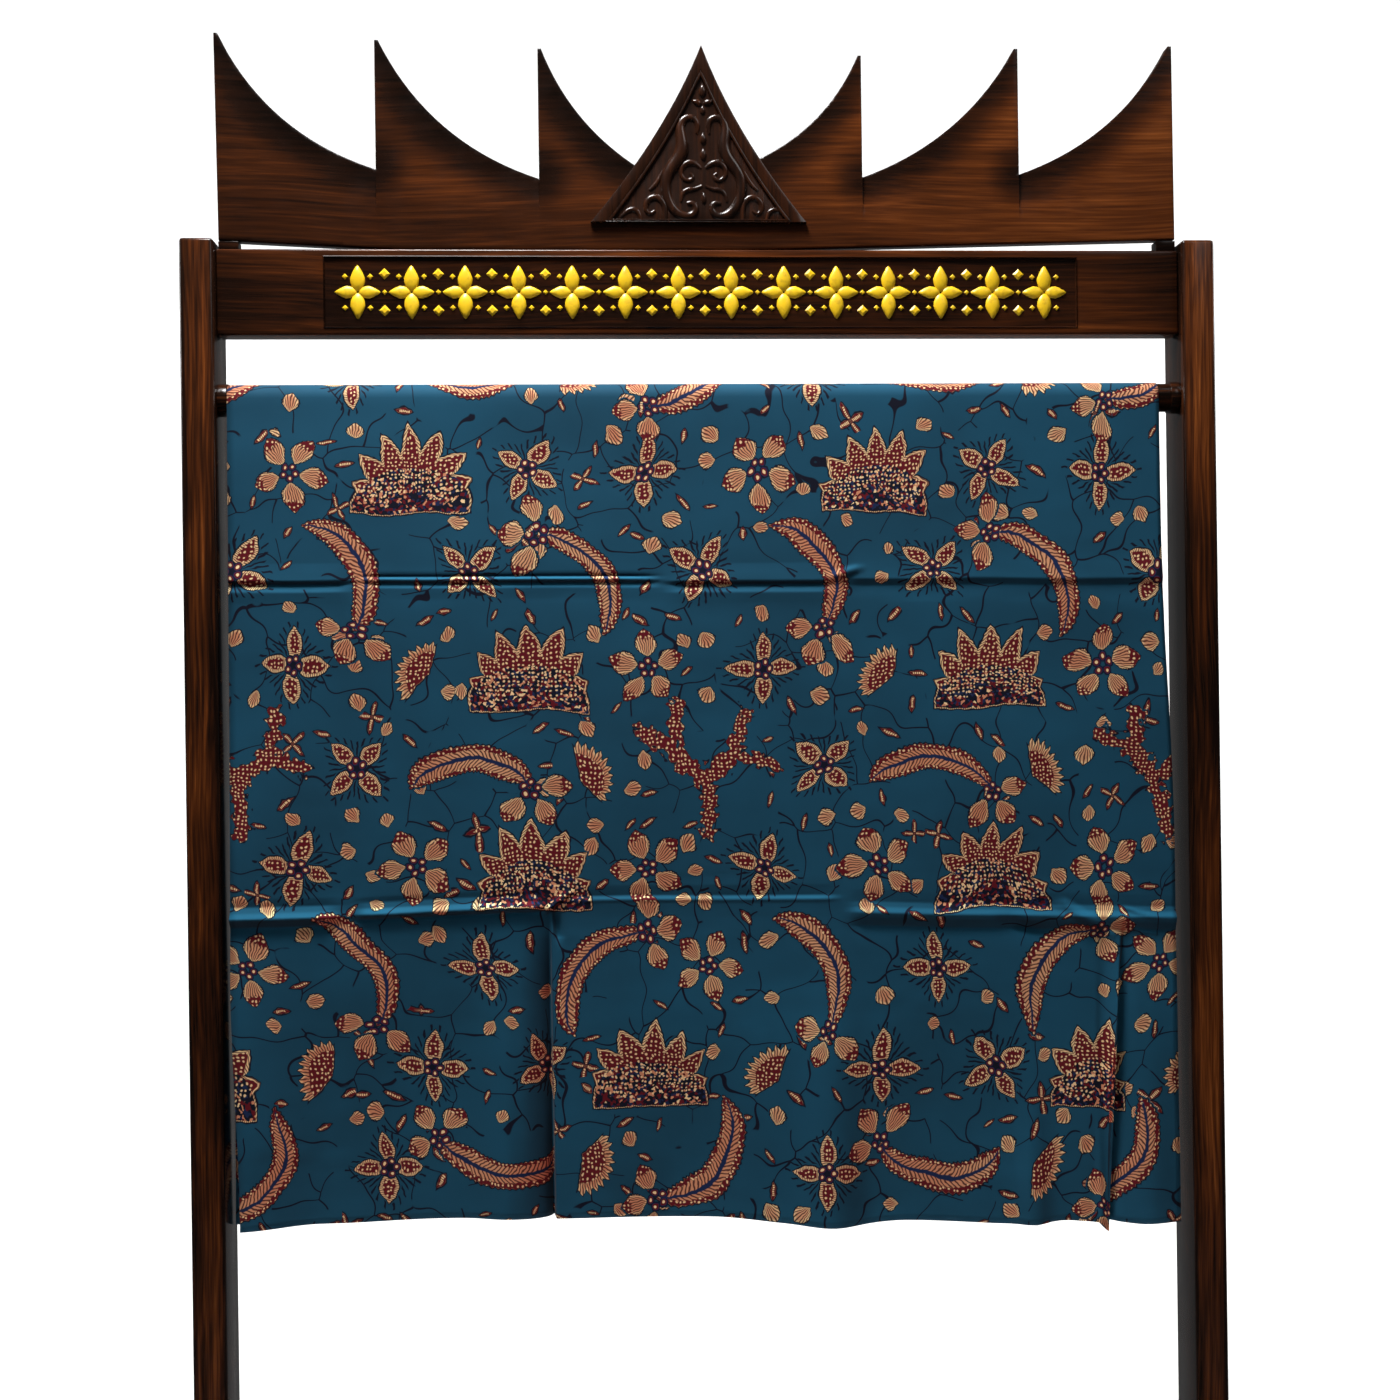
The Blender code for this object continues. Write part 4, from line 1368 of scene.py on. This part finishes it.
# Feather: a curved blade with a navy rib, combed peach vanes and a wine-red scalloped margin. At its
# foot sit a ring of beads and three petals.
BLADE_RADIUS = 80.0
BLADE_RISE = 16.0
BLADE_HALF = 76.0
BLADE_WIDE = 13.4
BLADE_OFF = 6.0
RIB_HALF = 1.5
FEATHER_MIDDLE = (8.0, -4.0, 0.0)
FOOT = (-71.0, -26.0, 0.0)
FOOT_TURN = math.radians(54)
AWAY = (-0.31, 0.95, 0.0)
feather_spot = vector("SUBTRACT", wide_spot, FEATHER_MIDDLE)
blade_spot = vector("ADD", feather_spot, (0.0, BLADE_RADIUS - BLADE_RISE, 0.0))
blade_x, blade_y = parts_of(blade_spot)
bow = vector("LENGTH", blade_spot, output=1) - BLADE_RADIUS
along = blade_x.math("ARCTAN2", blade_y) * BLADE_RADIUS
rib = abs(bow)
share = (along + BLADE_OFF) / (BLADE_HALF + BLADE_OFF)
fourth = share * share * share * share
blade = rib - BLADE_WIDE + fourth * BLADE_WIDE - share * 1.0 - along.zigzag(2.9) * 0.6
foot_spot = turned_by(vector("SUBTRACT", feather_spot, FOOT), FOOT_TURN)
bloom, torn_ends, lines, foot_beads = blossom(foot_spot)
bloom = bloom + vector("DOT_PRODUCT", foot_spot, AWAY, output=1).above(9.0, 1.0) * CLEAR_OFF
on_blade = (bloom - blade).above(0.0, 0.1)
plume = blade.at_most(bloom) + is_coral * FAR_OFF
feathered = (edge - plume).above(0.0, 0.1)
edge = edge.at_most(plume)
margin = (blade + bow.above(0.0, 2.0) * 1.8).above(-3.6, 0.8)
core = batik.choose(feathered, core, batik.choose(on_blade, torn_ends, margin))
hatch = batik.choose(feathered, hatch, batik.choose(on_blade, lines, along * 0.85 - rib * 0.8))
midrib = (rib - (1.0 - share * share) * RIB_HALF).below(0.7, 0.6) * on_blade * blade.below(-2.4, 1.0)
midrib = midrib * feathered
beads = beads.at_most(foot_beads + is_coral * FAR_OFF)

# Seeds, buds and little rosettes strewn between the motifs, on a lattice of their own.
STREWN = 0.0335
UNEVEN = 0.7
ROSETTE_SHARE = 0.08
ROSETTE_PETALS = 4
ROSETTE_OUT = 8.5
SEED_HALF_LENGTH = 8.4
SEED_HALF = 3.0
BUDS_FROM = 0.60
BUD_LONGER = 1.0
BUD_WIDER = 5.2
ROOM_ROUND = 2.0
CLEAR_OF = 3.0


def cells(place, size, randomness, output=0, feature="F1", distance="EUCLIDEAN"):
    """A pattern of cells of about one size in metres."""
    settings = {"voronoi_dimensions": "2D", "feature": feature, "distance": distance}
    sockets = {"Vector": place, "Scale": 1 / size, "Randomness": randomness}
    return batik.add("TexVoronoi", settings, sockets, output)


seed_place = cells(drawn, STREWN, UNEVEN, "Position")
seed_colour = cells(drawn, STREWN, UNEVEN, "Color")
seed_kind = channel(seed_colour, 1)
cell_x, cell_y, cell_chart = in_repeat(seed_place)
cell_reach = channel(cell_chart, 2) % 0.5 * REACH_SCALE
room = hypotenuse(cell_x, cell_y) - cell_reach
seed_spot = vector("SUBTRACT", drawn, seed_place)
seed_spot = vector("MULTIPLY", seed_spot, (1 / MM, 1 / MM, 0.0))
seed_spot = turned_by(seed_spot, channel(seed_colour, 0) * math.tau)
shrunk = 1.3 - channel(seed_colour, 2) * 0.45
seed_spot = scaled(seed_spot, shrunk)
seed_x, seed_y = parts_of(seed_spot)
slim = abs(seed_y)
is_rosette = seed_kind.below(ROSETTE_SHARE, 0.01)
far, wide = folded(seed_spot, ROSETTE_PETALS)
seed_x = batik.choose(is_rosette, seed_x, far - ROSETTE_OUT)
slim = batik.choose(is_rosette, slim, wide)
is_bud = seed_kind.above(BUDS_FROM, 0.01)
reach = is_bud * BUD_LONGER + SEED_HALF_LENGTH
half = is_bud * BUD_WIDER + SEED_HALF + seed_x.zigzag(1.6) * is_bud * 0.5
small = petal(seed_x, slim, -reach, reach, 0.55, half)
small = small + room.below(ROOM_ROUND, 1.0) * CLEAR_OFF
small = small + edge.below(CLEAR_OF, 0.5) * CLEAR_OFF
nearer = (edge - small).above(0.0, 0.1)
edge = batik.choose(nearer, edge, small)
core = batik.choose(nearer, core, 1.0 - is_bud)
hatch = batik.choose(nearer, hatch, slim / (seed_x + 15.0) * 25.0)
slit = slim.below(1.1, 0.5) * abs(seed_x).below(6.0, 1.0) * seed_x.zigzag(1.0).above(0.35, 0.3)
slit = slit * (1.0 - is_bud) * nearer * small.below(0.0, 0.4)

# Stems: thin dark lines that wander between the motifs and break off.
STEM_ROOM = 0.056
STEM_PULL = (0.075, 0.075, 0.0)
STEM_HALF = 0.017
STEM_BROKEN = 0.43
winding = batik.speckle(on_cloth, 14.0, 1.0, flat=True, output=1)
net_place = vector("MULTIPLY_ADD", winding, STEM_PULL, on_cloth)
stems = cells(net_place, STEM_ROOM, 1.0, feature="DISTANCE_TO_EDGE").below(STEM_HALF, 0.006)
broken = batik.speckle(on_cloth, 19.0, 1.0, flat=True)
stems = stems * broken.above(STEM_BROKEN, 0.02)

# Inking, from the dyed ground up to the last dots of bare cotton.
OUTLINE = 1.6
CREAM_RIM = -2.8
HATCH_PITCH = 2.1
HATCH_LINE = 0.88
EYE_ROUND, BEAD_BLUE, BEAD_WINE, BEAD_PALE = 5.3, 4.2, 3.4, 1.7
DOT_PITCH = 0.0049
DOT_HALF = 0.225
DAB_PITCH = 0.0027
DAB_TONES = ((0.0, INK), (0.46, WINE), (0.68, INK_BLUE), (0.84, PEACH), (0.95, CREAM))
eye = beads.below(EYE_ROUND, 0.6)
body = edge.below(0.0, 0.5) * (1.0 - eye)
outline = edge.below(OUTLINE, 0.7)
dark = outline.at_least(strokes).at_least(stems).at_least(eye)
clouds = batik.speckle(on_cloth, 6.0, 3.0, flat=True)
ground_colour = batik.blend(clouds.above(0.5, 0.5), GROUND_LOW, GROUND_HIGH)
colour = batik.blend(dark, ground_colour, INK)
rimmed = edge.above(CREAM_RIM, 2.5) * 0.75 + clouds.above(0.5, 0.3) * 0.4 - 0.1
petals = batik.blend(rimmed.clamped(), PEACH, CREAM)
hatching = hatch.zigzag(HATCH_PITCH).below(HATCH_LINE, 0.5)
petals = batik.blend(hatching * 0.9, petals, DARK_WINE)
colour = batik.blend(body, colour, petals)
colour = batik.blend(body * core, colour, WINE)
colour = batik.blend(midrib, colour, INK_BLUE)
colour = batik.blend(beads.below(BEAD_BLUE, 0.5), colour, INK_BLUE)
colour = batik.blend(beads.below(BEAD_WINE, 0.5), colour, WINE)
dots = cells(drawn, DOT_PITCH, 0.45).below(DOT_HALF, 0.12) * (1.0 - nearer)
dab = channel(cells(drawn, DAB_PITCH, 1.0, "Color", distance="CHEBYCHEV"), 0)
dab_colour = stepped(dab, DAB_TONES)
colour = batik.blend(dabbed, colour, dab_colour)
pale = (dots * body * core).at_least(slit).at_least(beads.below(BEAD_PALE, 0.5))
colour = batik.blend(pale, colour, CREAM)

# Painted light and shade in the creases.
DARKEST_PAINTED_SHADE = 0.3
painted_light_by = batik.add("Attribute", {"attribute_name": "worn"}, {}, "Fac") + 1.0
painted_light_by = painted_light_by.at_least(DARKEST_PAINTED_SHADE)
painted_light_tint = batik.add("CombineXYZ", {}, {0: painted_light_by * 0.4 + 0.6, 1: painted_light_by, 2: painted_light_by})
colour = vector("MULTIPLY", colour, painted_light_tint)

# The cotton itself: a plain weave and a slight unevenness of the thread.
u, v = parts_of(on_cloth)
THREAD_PITCH = 0.0009
THREADS = math.tau / THREAD_PITCH
weave = (u * THREADS).math("SINE") * (v * THREADS).math("SINE")
slub = batik.speckle(on_cloth, 60.0, 3.0, flat=True)
thread = batik.add("Bump", {}, {"Strength": 0.10, "Distance": 0.0004, "Height": weave * 0.25 + slub})
cotton = batik.surface(
    {
        "Base Color": colour,
        "Roughness": slub * 0.12 + 0.70,
        "Sheen Weight": 0.05,
        "Sheen Roughness": 0.4,
        "Specular IOR Level": 0.12,
        "Normal": thread,
    }
)
cloth = place_piece("hanging_batik", sheet, cotton, "dyed_cotton", "batik_cloth")
cloth.data.set_sharp_from_angle(angle=math.pi)
thickness = cloth.modifiers.new("thickness", "SOLIDIFY")
thickness.thickness = CLOTH_THICKNESS
thickness.offset = 0.0

# The studio: a pale sweep of paper under and behind the rack, a key lamp and a weak fill lamp in
# front and above, two lamps on the paper, and a camera before the cloth, turned a little right.

PAPER = (0.92, 0.92, 0.92)
SWEEP_HALF = 5.0
SWEEP_FRONT = -0.7
SWEEP_BACK = 2.4
SWEEP_TURN = 1.2
SWEEP_HEIGHT = 4.2
SWEEP_STEPS = 16

sweep = bmesh.new()
profile = [(SWEEP_FRONT, 0.0)]
for step in range(SWEEP_STEPS + 1):
    turn = math.pi / 2 * step / SWEEP_STEPS
    profile.append((SWEEP_BACK + SWEEP_TURN * math.sin(turn), SWEEP_TURN * (1 - math.cos(turn))))
profile.append((profile[-1][0], SWEEP_HEIGHT))
line = [sweep.verts.new((-SWEEP_HALF, y, z)) for y, z in profile]
edges = [sweep.edges.new(pair) for pair in zip(line, line[1:])]
spread = bmesh.ops.extrude_edge_only(sweep, edges=edges)["geom"]
moved = [part for part in spread if isinstance(part, bmesh.types.BMVert)]
bmesh.ops.translate(sweep, vec=(2 * SWEEP_HALF, 0, 0), verts=moved)
bmesh.ops.recalc_face_normals(sweep, faces=sweep.faces)
paper = Finish("pale_paper")
paper = paper.surface({"Base Color": (*PAPER, 1.0), "Roughness": 0.9})
backdrop = made_of("paper_sweep", sweep, paper)
backdrop.visible_glossy = False

# Each lamp: where it stands, what it looks at, its side in metres and its power.
LAMPS = (
    dict(name="key_lamp", at=(-0.40, -0.58, 2.90), to=(0.0, 0.0, 1.0), side=0.6, power=72.0),
    dict(name="fill_lamp", at=(1.5, -1.9, 3.2), to=(0.0, 0.0, 1.1), side=1.0, power=9.0),
    dict(name="paper_lamp_left", at=(-2.6, 0.6, 2.6), to=(-0.6, 3.4, 1.0), side=1.6, power=108.0),
    dict(name="paper_lamp_right", at=(2.6, 0.6, 2.6), to=(0.6, 3.4, 1.0), side=1.6, power=108.0),
)
for lamp in LAMPS:
    light = bpy.data.lights.new(lamp["name"], "AREA")
    light.size = lamp["side"]
    light.energy = lamp["power"]
    stand = put_in_scene(lamp["name"], light)
    stand.location = lamp["at"]
    aim = Vector(lamp["to"]) - Vector(lamp["at"])
    stand.rotation_euler = aim.to_track_quat("-Z", "Y").to_euler()

# The room: pale to the eye, but its light is dim in front of the rack and a little stronger behind
# it, so that the varnish stays dark.
ROOM_PALE = 0.93
ROOM_FRONT = 0.035
ROOM_BACK = 0.16
room = bpy.data.worlds.new("soft_room")
room.use_nodes = True
nodes = room.node_tree.nodes
links = room.node_tree.links
seen = nodes.new("ShaderNodeTexCoord")
depth = nodes.new("ShaderNodeSeparateXYZ")
links.new(seen.outputs["Generated"], depth.inputs[0])
backward = nodes.new("ShaderNodeMapRange")
links.new(depth.outputs["Y"], backward.inputs["Value"])
backward.inputs["From Min"].default_value = -0.1
backward.inputs["From Max"].default_value = 0.5
backward.inputs["To Min"].default_value = ROOM_FRONT
backward.inputs["To Max"].default_value = ROOM_BACK
ray = nodes.new("ShaderNodeLightPath")
strength = nodes.new("ShaderNodeMix")
links.new(ray.outputs["Is Camera Ray"], strength.inputs[0])
links.new(backward.outputs[0], strength.inputs[2])
strength.inputs[3].default_value = ROOM_PALE
links.new(strength.outputs[0], nodes["Background"].inputs["Strength"])
nodes["Background"].inputs["Color"].default_value = (1.0, 1.0, 1.0, 1.0)
bpy.context.scene.world = room
bpy.context.scene.view_settings.view_transform = "Standard"

# The eye stands a little left of the middle and looks a little to the right, slightly tilted.
EYE = (-0.131, -2.030, 1.033)
EYE_TURN = math.radians(3.4)
EYE_TILT = math.radians(0.75)
FOCAL_SHARE = 1786 / 1400
SENSOR = 36.0

lens = bpy.data.cameras.new("eye")
lens.sensor_width = SENSOR
lens.lens = FOCAL_SHARE * SENSOR
camera = put_in_scene("eye", lens)
facing = Matrix.Rotation(-EYE_TURN, 4, "Z") @ Matrix.Rotation(math.pi / 2, 4, "X")
camera.matrix_world = Matrix.Translation(EYE) @ facing @ Matrix.Rotation(-EYE_TILT, 4, "Z")
bpy.context.scene.camera = camera
